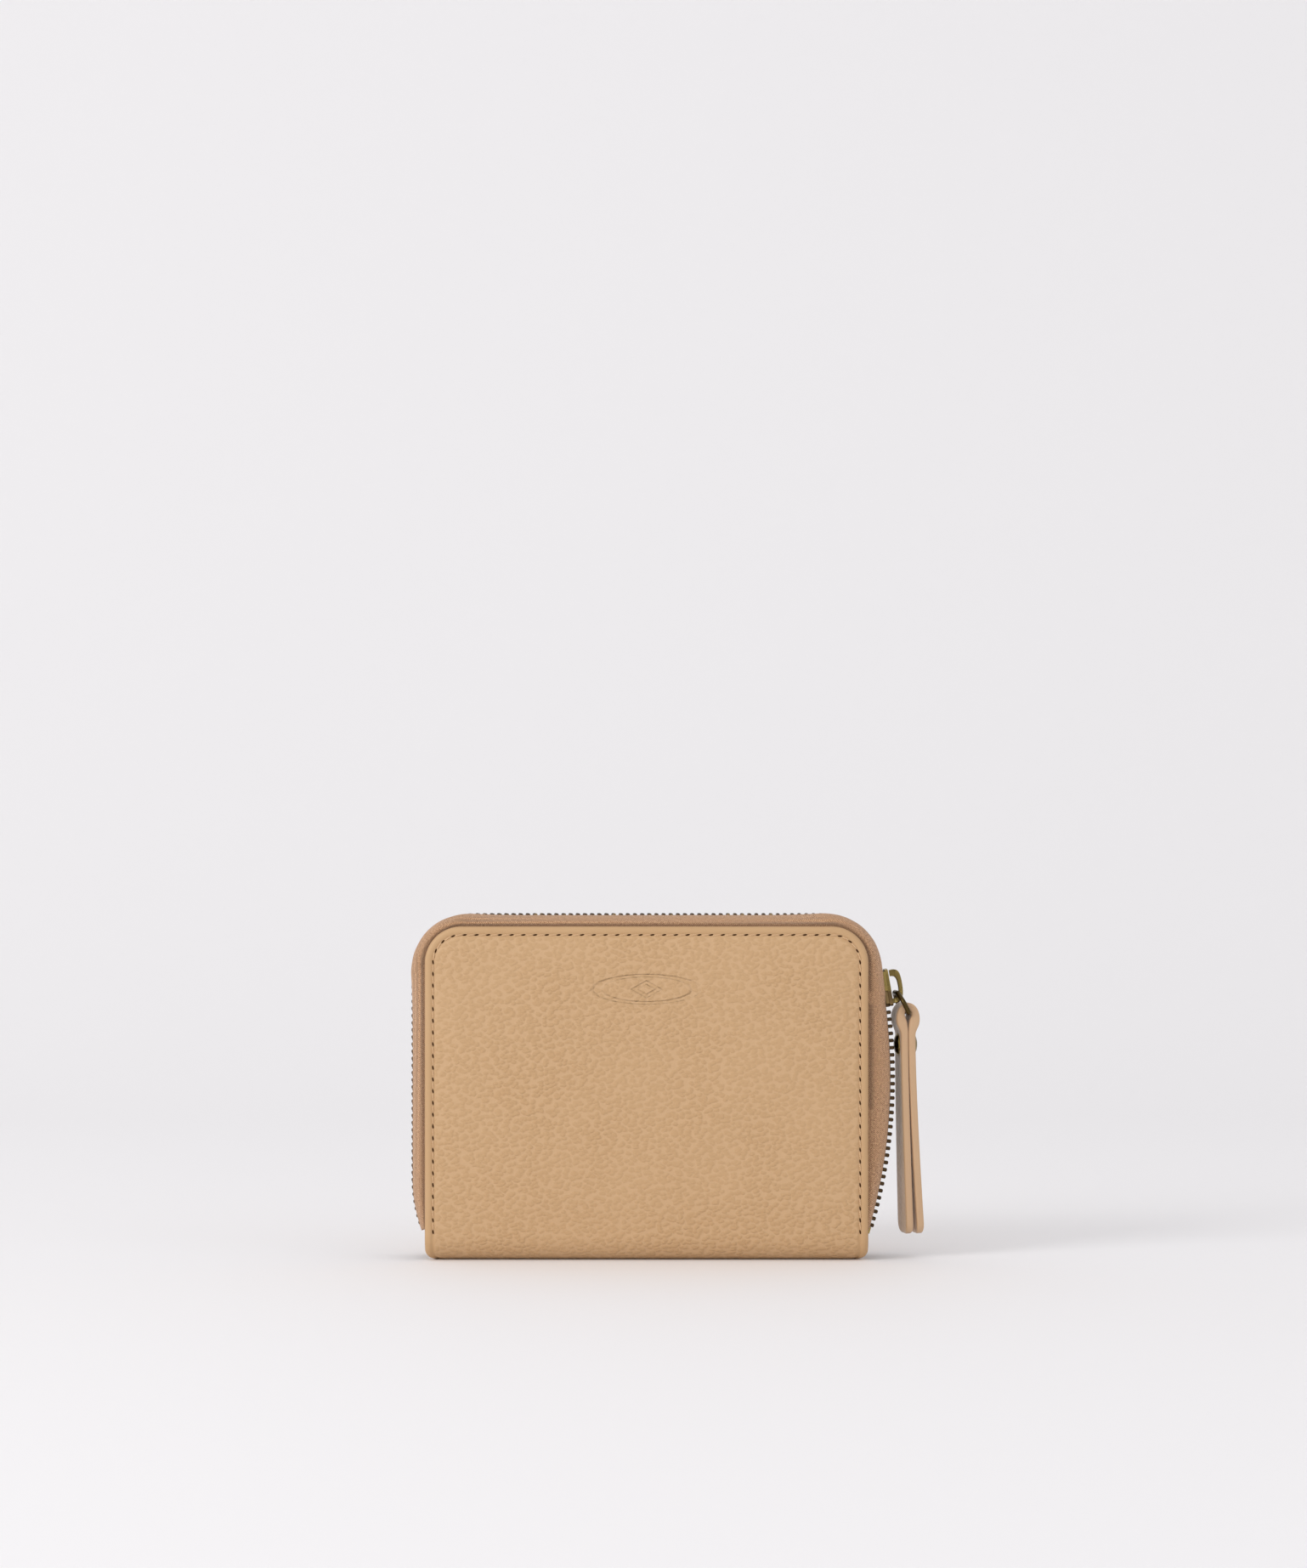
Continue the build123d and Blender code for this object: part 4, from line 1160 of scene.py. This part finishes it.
strap_calf = calf.copy()
strap_calf.name = "grained_calfskin_strap_painted_edge"
tree = strap_calf.node_tree
for node in [n for n in tree.nodes if n.type == "BUMP" and n.invert]:
    tree.nodes.remove(node)
strap_bump = next(n for n in tree.nodes if n.type == "BUMP")
strap_shader = next(n for n in tree.nodes if n.type == "BSDF_PRINCIPLED")
tree.links.new(strap_bump.outputs["Normal"], strap_shader.inputs["Normal"])
strap_mix = next(
    n for n in tree.nodes if n.type == "MIX" and n.inputs["Factor"].is_linked
    and n.inputs["Factor"].links[0].from_node.type == "ATTRIBUTE"
)
strap_mix.inputs["B"].default_value = linear("#C9A682")
strap_bump.inputs["Distance"].default_value = 0.05 * MM
strap_shader.inputs["Sheen Weight"].default_value = 1.0
strap_shader.inputs["Sheen Roughness"].default_value = 0.35
strap_shader.inputs["Sheen Tint"].default_value = linear("#FFF6EE")


def lean(z):
    """Outward lean of the strap's middle line at height z above the bar."""
    low = min(max((-z - 10) / (STRAP_DROP - 10), 0), 1)
    return 1.75 * low**1.4


def ply_gap(z):
    """Distance of a ply's middle from the strap's middle, at height z from the bar."""
    if z < -9:
        low = (-9 - z) / (STRAP_DROP - 9)
        return PLY / 2 + 0.01 + 0.55 * low**1.5
    narrow = min(max((-z - EYE_DROP) / 5.1, 0), 1)
    return EYE + (PLY / 2 + 0.01 - EYE) * narrow * narrow * (3 - 2 * narrow)


half_path = [(-ply_gap(z), z) for z in np.linspace(-STRAP_DROP, -9, 28)]
half_path += [(-ply_gap(z), z) for z in np.linspace(-8.3, -1.2, 16)]
top = [(EYE * math.cos(a), EYE_RISE * math.sin(a) - EYE_DROP) for a in np.linspace(math.pi, 0, 19)]
fold = half_path + top + [(-n, z) for n, z in reversed(half_path)]
# How far round the strap's section each of its twenty points lies, in millimetres.
STRAP_ROUND = [
    0, 0.3, 0.7, 1.5, 4.7, 7.9, 8.7, 9.0, 9.3, 10.4,
    11.4, 11.7, 12.1, 12.9, 16.1, 19.3, 20.1, 20.4, 20.7, 21.8,
]
STRAP_CORNER = 1.7
points, faces, painted = [], [], []
travel = [0.0]
for a, b in zip(fold, fold[1:]):
    travel.append(travel[-1] + math.dist(a, b))
for i, (n, z) in enumerate(fold):
    before, after = fold[max(i - 1, 0)], fold[min(i + 1, len(fold) - 1)]
    ahead = Vector((after[0] - before[0], after[1] - before[1])).normalized()
    out = Vector((-ahead.y, ahead.x))
    end = min(travel[i], travel[-1] - travel[i])
    half = STRAP_HALF
    if end < STRAP_CORNER:
        half -= STRAP_CORNER - math.sqrt(STRAP_CORNER**2 - (STRAP_CORNER - end) ** 2)
    thick = (PLY / 2 + 0.42 * math.exp(-(((z + 2.8) / 1.9) ** 2))) * (0.82 if end < 0.05 else 1.0)
    turn = SWIVEL + math.radians(6) * min(max(-z / STRAP_DROP, 0), 1) + math.radians(1)
    way = Vector((math.cos(turn), math.sin(turn), 0))
    wide = Vector((-math.sin(turn), math.cos(turn), 0))
    section = [
        (-half, -thick * 0.55, 1), (-half + 0.12, -thick * 0.85, 1),
        (-half + 0.45, -thick, 0.15), (-half + 1.2, -thick, 0), (0, -thick, 0),
        (half - 1.2, -thick, 0), (half - 0.45, -thick, 0.15), (half - 0.12, -thick * 0.85, 1),
        (half, -thick * 0.55, 1), (half + 0.03, 0, 1), (half, thick * 0.55, 1),
        (half - 0.12, thick * 0.85, 1), (half - 0.45, thick, 0.15), (half - 1.2, thick, 0),
        (0, thick, 0), (-half + 1.2, thick, 0), (-half + 0.45, thick, 0.15),
        (-half + 0.12, thick * 0.85, 1), (-half, thick * 0.55, 1), (-half - 0.03, 0, 1),
    ]
    for w, t, paint in section:
        at = bar + way * (n + out.x * t + lean(z)) + Vector((0, 0, z + out.y * t)) + wide * w
        points.append(tuple(at))
        painted.append(1.0 if end < 0.05 else float(paint))
count = 20
for r in range(len(fold) - 1):
    for i in range(count):
        a, b = r * count + i, r * count + (i + 1) % count
        faces.append((a, b, b + count, a + count))
faces.append(tuple(range(count - 1, -1, -1)))
faces.append(tuple(range(len(points) - count, len(points))))
strap = solid_piece("pull_strap_leather", points, faces, strap_calf)
paint_layer = strap.data.attributes.new("edge", "FLOAT", "POINT")
paint_layer.data.foreach_set("value", painted)
paint_layer = strap.data.attributes.new("pressed", "FLOAT", "POINT")
paint_layer.data.foreach_set("value", painted)
hide_layer = strap.data.uv_layers.new(name="hide")
for face in strap.data.polygons:
    spots = [divmod(strap.data.loops[i].vertex_index, 20) for i in face.loop_indices]
    last = max(spot for _, spot in spots) == 19
    for i, (station, spot) in zip(face.loop_indices, spots):
        round_way = 22.4 if spot == 0 and last else STRAP_ROUND[spot]
        hide_layer.data[i].uv = (800 + round_way, travel[station])
finer = strap.modifiers.new("finer", "SUBSURF")
finer.levels = finer.render_levels = 1
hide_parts("strap_leather")
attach(strap, "pull_strap")


# Rivet: two pressed brass caps on one post, closed through both plies of the strap.

# Section of a cap from the middle of its dome to the rim: (radius, height above the leather).
CAP = (
    (0, 1.12), (0.7, 1.1), (1.4, 1.0), (2.0, 0.83), (2.5, 0.6),
    (2.82, 0.38), (3.0, 0.18), (3.02, 0.06), (2.9, -0.06),
)
rivet_at = bar + outward * lean(-RIVET_DROP) - Vector((0, 0, RIVET_DROP))
for label, side in (("rivet_cap", -1), ("rivet_back", 1)):
    sides = 36
    points, faces = [tuple(rivet_at + outward * side * (PLY + 0.02 + CAP[0][1]))], []
    for radius, lift in CAP[1:]:
        for k in range(sides):
            turn = 2 * math.pi * k / sides
            spot = across * radius * math.cos(turn) + Vector((0, 0, radius * math.sin(turn)))
            points.append(tuple(rivet_at + spot + outward * side * (PLY + 0.02 + lift)))
    faces = [(0, 1 + k, 1 + (k + 1) % sides) for k in range(sides)]
    for r in range(len(CAP) - 2):
        for k in range(sides):
            a, b = 1 + r * sides + k, 1 + r * sides + (k + 1) % sides
            faces.append((a, a + sides, b + sides, b))
    last = 1 + (len(CAP) - 2) * sides
    faces.append(tuple(last + k for k in range(sides - 1, -1, -1)))
    if side < 0:
        faces = [tuple(reversed(f)) for f in faces]
    cap = solid_piece(f"{label}_dome", points, faces, brass)
    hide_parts(label)
    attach(cap, "pull_strap")


# Wadding: a sheet of needled polyester under the leather, thinned at its border, gives the
# covers their slight crown.

wadding, tree = new_material("needled_polyester_wadding")
tuft = add(
    tree, "ShaderNodeTexNoise",
    {"Vector": add(tree, "ShaderNodeTexCoord").outputs["Object"], "Scale": 600.0, "Detail": 6.0},
)
tuft_bump = add(tree, "ShaderNodeBump", {"Height": tuft.outputs["Fac"], "Distance": 0.3 * MM})
tuft_colour = add(
    tree, "ShaderNodeMix",
    {"Factor": tuft.outputs["Fac"], "A": linear("#DAD3C4"), "B": linear("#EFEBE2")}, data_type="RGBA",
)
tuft_shader = add(
    tree, "ShaderNodeBsdfPrincipled",
    {"Base Color": tuft_colour.outputs["Result"], "Roughness": 0.95, "Normal": tuft_bump.outputs["Normal"]},
)
add(tree, "ShaderNodeOutputMaterial", {"Surface": tuft_shader.outputs[0]})
pad_grid = cover_grid(((8.6, 0), (7.2, 0), (6.2, 0), (5.4, 0), (5.0, 0)), 3.0, 3.0, [10.0, 12.0])
crowned = [
    [on_cover(x, h, SKIN + 0.06 - puff(x, h) * (1 if k < 4 else 0.4)) for x, h, k in row]
    for row in pad_grid
]
seat = [[on_cover(x, h, SKIN + 0.78) for x, h, k in row] for row in pad_grid]
pad_points, pad_faces = two_skins(crowned, seat)
for cover, (points, faces) in {
    "front": (pad_points, pad_faces),
    "back": mirrored(pad_points, pad_faces),
}.items():
    pad = solid_piece(f"{cover}_wadding", points, faces, wadding)
    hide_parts(f"{cover}_padding")
    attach(pad, f"{cover}_cover")


# Lining: cotton twill, glued over the boards and turned in at the edge. One cloth runs from each
# cover down into the spine.

twill, tree = new_material("cotton_twill_lining_tan")
twill_place = add(tree, "ShaderNodeTexCoord").outputs["Object"]
twill_part = add(tree, "ShaderNodeSeparateXYZ", {"Vector": twill_place})
diagonal = add(
    tree, "ShaderNodeMath", {0: twill_part.outputs["X"], 1: twill_part.outputs["Z"]}, operation="ADD"
)
diagonal = add(
    tree, "ShaderNodeMath", {0: diagonal.outputs[0], 1: twill_part.outputs["Y"]}, operation="SUBTRACT"
)
TWILL = 0.9
ridge = add(
    tree, "ShaderNodeMath", {0: diagonal.outputs[0], 1: 2 * math.pi / (TWILL * MM)}, operation="MULTIPLY"
)
ridge = add(tree, "ShaderNodeMath", {0: ridge.outputs[0]}, operation="SINE")
slub = add(tree, "ShaderNodeTexNoise", {"Vector": twill_place, "Scale": 400.0, "Detail": 3.0})
twill_height = add(tree, "ShaderNodeMath", {0: ridge.outputs[0], 1: slub.outputs["Fac"]}, operation="ADD")
twill_bump = add(
    tree, "ShaderNodeBump", {"Height": twill_height.outputs[0], "Distance": 0.04 * MM, "Strength": 0.8}
)
twill_colour = add(
    tree, "ShaderNodeMix",
    {"Factor": slub.outputs["Fac"], "A": linear("#9C7350"), "B": linear("#BD9468")}, data_type="RGBA",
)
twill_shader = add(
    tree, "ShaderNodeBsdfPrincipled",
    {
        "Base Color": twill_colour.outputs["Result"], "Roughness": 0.85, "Sheen Weight": 0.15,
        "Normal": twill_bump.outputs["Normal"],
    },
)
add(tree, "ShaderNodeOutputMaterial", {"Surface": twill_shader.outputs[0]})
LINING_RIM = ((8.0, 0), (6.0, 0), (4.2, 0), (3.0, 0), (2.4, 0.02), (2.0, 0.12), (1.85, 0.3))
lining_foot = [-8.0, -6.5, -5.0] + [BEND - BEND * math.pi / 2 * (1 - i / 10) for i in range(11)]
lining_grid = cover_grid(LINING_RIM, 3.0, 3.0, lining_foot)


def lining_depth(x, h, level, lift):
    low = min(max((h + 4) / 11, 0), 1)
    tuck = LINING_RIM[level - 1][1] if level else 0.0
    ease = 0.05 * noise.noise(Vector((x / 14, h / 11, 6.0)))
    return 2.62 + 0.85 * low * low * (3 - 2 * low) - tuck + ease - lift


inside = [[on_cover(x, h, lining_depth(x, h, k, 0.0)) for x, h, k in row] for row in lining_grid]
LINING_THICK = 0.5
thinned = [LINING_THICK] + [LINING_THICK - tuck for _, tuck in LINING_RIM]
under = [
    [on_cover(x, h, lining_depth(x, h, k, thinned[k])) for x, h, k in row] for row in lining_grid
]
lining_points, lining_faces = two_skins(under, inside)
for cover, (points, faces) in {
    "front": (lining_points, lining_faces),
    "back": mirrored(lining_points, lining_faces),
}.items():
    side = -1 if cover == "front" else 1
    cloth = solid_piece(f"{cover}_lining_cloth", points, faces, twill)
    if cover == "front":
        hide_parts("front_lining", "spine_lining")
    else:
        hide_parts("back_lining")
    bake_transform(cloth)


# Card slots: four panels of smooth split calf, each lower and nearer the middle than the last,
# creased along the top edge, with a thumb notch, and sewn down at both sides and the foot.

smooth_calf, tree = new_material("smooth_split_calf_tan")
smooth_place = add(tree, "ShaderNodeTexCoord").outputs["Object"]
pore = add(tree, "ShaderNodeTexVoronoi", {"Vector": smooth_place, "Scale": 1 / (0.5 * MM)})
pull = add(tree, "ShaderNodeTexNoise", {"Vector": smooth_place, "Scale": 80.0, "Detail": 4.0})
smooth_bump = add(
    tree, "ShaderNodeBump", {"Height": pore.outputs["Distance"], "Distance": 0.03 * MM, "Strength": 0.6}
)
smooth_colour = add(
    tree, "ShaderNodeMix",
    {"Factor": pull.outputs["Fac"], "A": linear("#B98E63"), "B": linear("#CFA67C")}, data_type="RGBA",
)
smooth_shader = add(
    tree, "ShaderNodeBsdfPrincipled",
    {
        "Base Color": smooth_colour.outputs["Result"],
        "Roughness": 0.5,
        "Normal": smooth_bump.outputs["Normal"],
    },
)
add(tree, "ShaderNodeOutputMaterial", {"Surface": smooth_shader.outputs[0]})


def panel_piece(name, half, foot, top, face, thick, toward, notch=0.0, belly=0.0):
    """Leather panel inside a cover; face is the y it shows and toward is the way it faces."""
    columns = [x for x in np.linspace(-half, half, 75)]
    seen, hidden = [], []
    for t in np.linspace(0, 1, 26):
        rise, back = [], []
        for x in columns:
            dip = notch * max(1 - (x / 11) ** 2, 0) ** 0.6 if notch else 0.0
            near = half - abs(x)
            corner = 2.5 - math.sqrt(max(2.5**2 - (2.5 - near) ** 2, 0)) if near < 2.5 else 0.0
            low, high = foot + corner, top - dip - (corner if not notch else corner * 0.4)
            z = low + (high - low) * t
            edge = min(near, (high - low) * t, (high - low) * (1 - t))
            roll = 0.28 * max(1 - edge / 0.9, 0) ** 2
            crease = 0.09 * math.exp(-(((high - low) * (1 - t) - 1.6) / 0.3) ** 2)
            swell = belly * math.sin(math.pi * t) * max(1 - (x / half) ** 2, 0)
            rise.append((x, face + toward * (swell - roll - crease), z))
            back.append((x, face - toward * (thick - swell * 0.8), z))
        seen.append(rise)
        hidden.append(back)
    points, faces = two_skins(seen, hidden) if toward < 0 else two_skins(hidden, seen)
    return solid_piece(name, points, faces, smooth_calf)


SLOT_TOPS = (66.0, 58.0, 50.0, 42.0)
for i, high in enumerate(SLOT_TOPS):
    slot_piece = panel_piece(
        f"card_slot_leather_{i + 1}", 52, 10, high, -7.5 + 0.8 * (i + 1), 0.75, 1, notch=4.0
    )
    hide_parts(f"card_slot_{i + 1}")
    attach(slot_piece, "front_cover")


# Coin pocket inside the back cover: a leaf and a facing strip on a narrow gusset, with a nylon
# coil zip between them.

leaf = panel_piece("coin_pocket_leaf_leather", 50, 10, 71.5, 3.5, 0.9, -1, belly=0.7)
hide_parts("coin_pocket_leaf")
facing = panel_piece("coin_pocket_facing_leather", 50, 80.5, 86, 3.5, 0.9, -1)
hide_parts("coin_pocket_facing")
wall_outer = rounded([(-50, 10), (50, 10), (50, 86), (-50, 86)], 3.5)
wall_inner = rounded([(-48.8, 11.2), (48.8, 11.2), (48.8, 84.8), (-48.8, 84.8)], 2.6)
count = len(wall_outer)
points = [(x, y, z) for y in (4.4, 7.5) for ring_line in (wall_outer, wall_inner) for x, z in ring_line]
faces = []
for i in range(count):
    j = (i + 1) % count
    faces += [
        (i, j, j + count, i + count),
        (i + 2 * count, i + 3 * count, j + 3 * count, j + 2 * count),
        (i, i + 2 * count, j + 2 * count, j),
        (i + count, j + count, j + 3 * count, i + 3 * count),
    ]
gusset = softened(solid_piece("coin_pocket_gusset", points, faces, smooth_calf), 0.2, 2)
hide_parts("coin_pocket_walls")
for piece in (leaf, facing, gusset):
    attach(piece, "back_cover")

COIN_ZIP = 76.0
COIN_TAPE_WIDTH = 10.0
nylon, tree = new_material("dyed_nylon_coil_tan")
melt = add(
    tree, "ShaderNodeTexNoise",
    {"Vector": add(tree, "ShaderNodeTexCoord").outputs["Object"], "Scale": 1500.0},
)
nylon_bump = add(tree, "ShaderNodeBump", {"Height": melt.outputs["Fac"], "Distance": 0.01 * MM})
nylon_colour = add(
    tree, "ShaderNodeMix",
    {"Factor": melt.outputs["Fac"], "A": linear("#9B7650"), "B": linear("#B58C61")}, data_type="RGBA",
)
nylon_shader = add(
    tree, "ShaderNodeBsdfPrincipled",
    {"Base Color": nylon_colour.outputs["Result"], "Roughness": 0.35, "Normal": nylon_bump.outputs["Normal"]},
)
add(tree, "ShaderNodeOutputMaterial", {"Surface": nylon_shader.outputs[0]})
for word, side in (("upper", 1), ("lower", -1)):
    # The tape is cut 10 mm wide. Its outer edge is turned back behind it, clear of the slider.
    near, straight, turn_radius = 0.8, 5.75, 0.25
    turned_back = COIN_TAPE_WIDTH - straight - math.pi * turn_radius
    crossing = [(near + straight * t, 4.6) for t in np.linspace(0, 1, 8)]
    crossing += [
        (near + straight + turn_radius * math.sin(a), 4.6 + turn_radius * (1 - math.cos(a)))
        for a in np.linspace(0, math.pi, 7)[1:]
    ]
    crossing += [
        (near + straight - turned_back * t, 4.6 + 2 * turn_radius) for t in np.linspace(0, 1, 5)[1:]
    ]
    gone = [0.0]
    for a, b in zip(crossing, crossing[1:]):
        gone.append(gone[-1] + math.dist(a, b))
    rows = [(COIN_ZIP + side * away, y, COIN_ZIP + side * (near + g)) for (away, y), g in zip(crossing, gone)]
    columns = np.linspace(-48.5, 48.5, 90)
    if side < 0:
        rows = rows[::-1]
    sheet_points = [
        (x, y + 0.05 * noise.noise(Vector((x / 6, z / 3, 0))), z) for z, y, _ in rows for x in columns
    ]
    faces = []
    for r in range(len(rows) - 1):
        for c in range(len(columns) - 1):
            a = r * len(columns) + c
            faces.append((a, a + 1, a + len(columns) + 1, a + len(columns)))
    coin_tape = solid_piece(f"coin_zip_cloth_{word}", sheet_points, faces, weave)
    layer = coin_tape.data.uv_layers.new(name="cloth")
    for corner in coin_tape.data.loops:
        row, column = divmod(corner.vertex_index, len(columns))
        layer.data[corner.index].uv = (columns[column], rows[row][2])
    wall = coin_tape.modifiers.new("thickness", "SOLIDIFY")
    wall.thickness = 0.4 * MM
    wall.offset = 0
    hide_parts(f"coin_zip_tape_{word}")
    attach(coin_tape, "back_cover")
    # One turn of the coil: a monofilament loop that leans along the zip.
    angles = [2 * math.pi * k / 12 for k in range(12)]
    turns = [(0.16 * math.sin(a), 0.42 * math.cos(a), 0.42 * math.sin(a)) for a in angles]
    points, faces = [], []
    for k, spot in enumerate(turns):
        radial = Vector((0, spot[1], spot[2])).normalized()
        for m in range(6):
            angle = math.pi * m / 3
            aside = Vector((0.17 * math.sin(angle), 0, 0))
            points.append(tuple(Vector(spot) + radial * 0.14 * math.cos(angle) + aside))
    for k in range(12):
        for m in range(6):
            a, b = k * 6 + m, k * 6 + (m + 1) % 6
            c = ((k + 1) % 12) * 6
            faces.append((a, b, c + (m + 1) % 6, c + m))
    turn_unit = solid_piece("coil_unit", points, faces, nylon)
    middle = COIN_ZIP + side * 1.1
    coil = row_piece(
        f"coin_coil_{word}",
        path_curve("coil", [(x, 3.8, middle) for x in np.linspace(-46, 46, 40)]),
        turn_unit, along_row, Pitch=0.62 * MM, Start=0.0 if side > 0 else 0.5, Wobble=0.0, Finish=nylon,
    )
    bpy.data.objects.remove(turn_unit)
    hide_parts(f"coin_zip_coil_{word}")
    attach(coil, "back_cover")


# Inner stitching: the same waxed thread holds the card slots and the coin pocket to the covers.


def slot_face(z):
    return -7.5 + 0.8 * sum(z < high for high in SLOT_TOPS)


def bracket(half, start, end, radius, step=0.8):
    """Points x, z up or down one side, across at height end, and back up the other side."""
    way = 1 if end > start else -1
    points = [(-half, z) for z in np.arange(start, end - way * radius, way * step)]
    for turn in np.linspace(0, math.pi / 2, 8):
        points.append((-half + radius * (1 - math.cos(turn)), end - way * radius * (1 - math.sin(turn))))
    points += [(x, end) for x in np.arange(-half + radius + step, 0, step)]
    return points + [(-x, z) for x, z in reversed(points)]


INNER_ARCH = (
    (-1.2, 0.16, 0.04), (-1.05, 0.05, 0.15), (-0.6, -0.08, 0.24),
    (0.6, -0.08, 0.24), (1.05, 0.05, 0.15), (1.2, 0.16, 0.04),
)
for name, body, toward, path in (
    (
        "card_slot_thread", "front_cover", 1,
        [(x, slot_face(z) + 0.06, z) for x, z in bracket(50.2, 65, 12, 1.5)],
    ),
    ("coin_pocket_thread", "back_cover", -1, [(x, 3.38, z) for x, z in bracket(48.4, 71, 11.6, 3)]),
    ("coin_facing_thread", "back_cover", -1, [(x, 3.38, z) for x, z in bracket(48.4, 81.2, 84.4, 2)]),
):
    rings = [(x, -toward * y, 0.08 * x, r * 0.7, r * 0.8) for x, y, r in INNER_ARCH]
    unit = solid_piece("stitch_unit", *capsule(rings, 7), thread)
    sewn = row_piece(
        name, path_curve("sewn", path), unit, along_row,
        Pitch=STITCH_PITCH * MM, Start=0.5, Wobble=0.03, Finish=thread,
    )
    bpy.data.objects.remove(unit)
    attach(sewn, body)


# Boards: bonded leather fibre under the lining, grey-brown, with a pressed surface. They and the
# small zip stops, the coin slider and its pull keep their made shapes.

fibreboard, tree = new_material("bonded_leather_fibreboard")
chip = add(
    tree, "ShaderNodeTexNoise",
    {"Vector": add(tree, "ShaderNodeTexCoord").outputs["Object"], "Scale": 900.0, "Detail": 6.0},
)
chip_bump = add(tree, "ShaderNodeBump", {"Height": chip.outputs["Fac"], "Distance": 0.03 * MM})
chip_colour = add(
    tree, "ShaderNodeMix",
    {"Factor": chip.outputs["Fac"], "A": linear("#7E6650"), "B": linear("#A08871")}, data_type="RGBA",
)
chip_shader = add(
    tree, "ShaderNodeBsdfPrincipled",
    {"Base Color": chip_colour.outputs["Result"], "Roughness": 0.9, "Normal": chip_bump.outputs["Normal"]},
)
add(tree, "ShaderNodeOutputMaterial", {"Surface": chip_shader.outputs[0]})
for node_name, finish in (
    ("front_board", fibreboard), ("back_board", fibreboard), ("spine_board", fibreboard),
    ("front_top_stop", brass), ("back_top_stop", brass), ("bottom_stop", brass),
    ("coin_slider_body", brass), ("coin_pull", brass),
):
    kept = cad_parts[node_name]
    for spot in kept.material_slots:
        spot.material = finish

# Studio: a pale sheet under and behind, one large soft light from the upper left and a weaker
# fill from the right.

paper, tree = new_material("matt_white_paper")
fibre = add(
    tree, "ShaderNodeTexNoise",
    {"Vector": add(tree, "ShaderNodeTexCoord").outputs["Object"], "Scale": 900.0},
)
paper_bump = add(
    tree, "ShaderNodeBump", {"Height": fibre.outputs["Fac"], "Distance": 0.02 * MM, "Strength": 0.2}
)
paper_shader = add(
    tree, "ShaderNodeBsdfPrincipled",
    {"Base Color": linear("#F4F3F4"), "Roughness": 0.75, "Normal": paper_bump.outputs["Normal"]},
)
add(tree, "ShaderNodeOutputMaterial", {"Surface": paper_shader.outputs[0]})
sweep_points, sweep_faces = [], []
SWEEP_START = 500
SWEEP_RADIUS = 900
profile = [(-3500, 0), (SWEEP_START, 0)]
profile += [
    (SWEEP_START + SWEEP_RADIUS * math.sin(a), SWEEP_RADIUS * (1 - math.cos(a)))
    for a in np.linspace(0.05, math.pi / 2, 24)
]
profile += [(SWEEP_START + SWEEP_RADIUS, 3500)]
for y, z in profile:
    sweep_points += [(-4000, y, z), (4000, y, z)]
sweep_faces = [(2 * i, 2 * i + 1, 2 * i + 3, 2 * i + 2) for i in range(len(profile) - 1)]
sweep = solid_piece("studio_sweep", sweep_points, sweep_faces, paper)

world = bpy.data.worlds.new("studio")
bpy.context.scene.world = world
world.use_nodes = True
world.node_tree.nodes["Background"].inputs["Color"].default_value = linear("#FBFAFB")
world.node_tree.nodes["Background"].inputs["Strength"].default_value = 0.825


def soft_light(name, at, aim, size, power, tint):
    light = bpy.data.lights.new(name, "AREA")
    light.shape = "RECTANGLE"
    light.size, light.size_y = size
    light.energy = power
    light.color = linear(tint)[:3]
    lamp = bpy.data.objects.new(name, light)
    bpy.context.scene.collection.objects.link(lamp)
    lamp.location = at
    lamp.rotation_euler = (Vector(aim) - Vector(at)).to_track_quat("-Z", "Y").to_euler()


soft_light("key", (-1.35, -1.05, 0.85), (0, 0, 0.05), (0.8, 0.8), 12.5, "#FFFEFE")
soft_light("fill", (1.1, -0.7, 0.7), (0, 0, 0.05), (0.8, 0.8), 0.8, "#FCFCFF")
bpy.context.scene.view_settings.view_transform = "Standard"

camera = bpy.data.cameras.new("camera")
camera.sensor_fit = "VERTICAL"
camera.sensor_height = 36
camera.lens = 100.7
camera.clip_end = 20
eye = bpy.data.objects.new("camera", camera)
eye.location = (0.0019, -1.211, 0.1306)
eye.rotation_euler = (math.pi / 2, 0, 0)
bpy.context.scene.collection.objects.link(eye)
bpy.context.scene.camera = eye
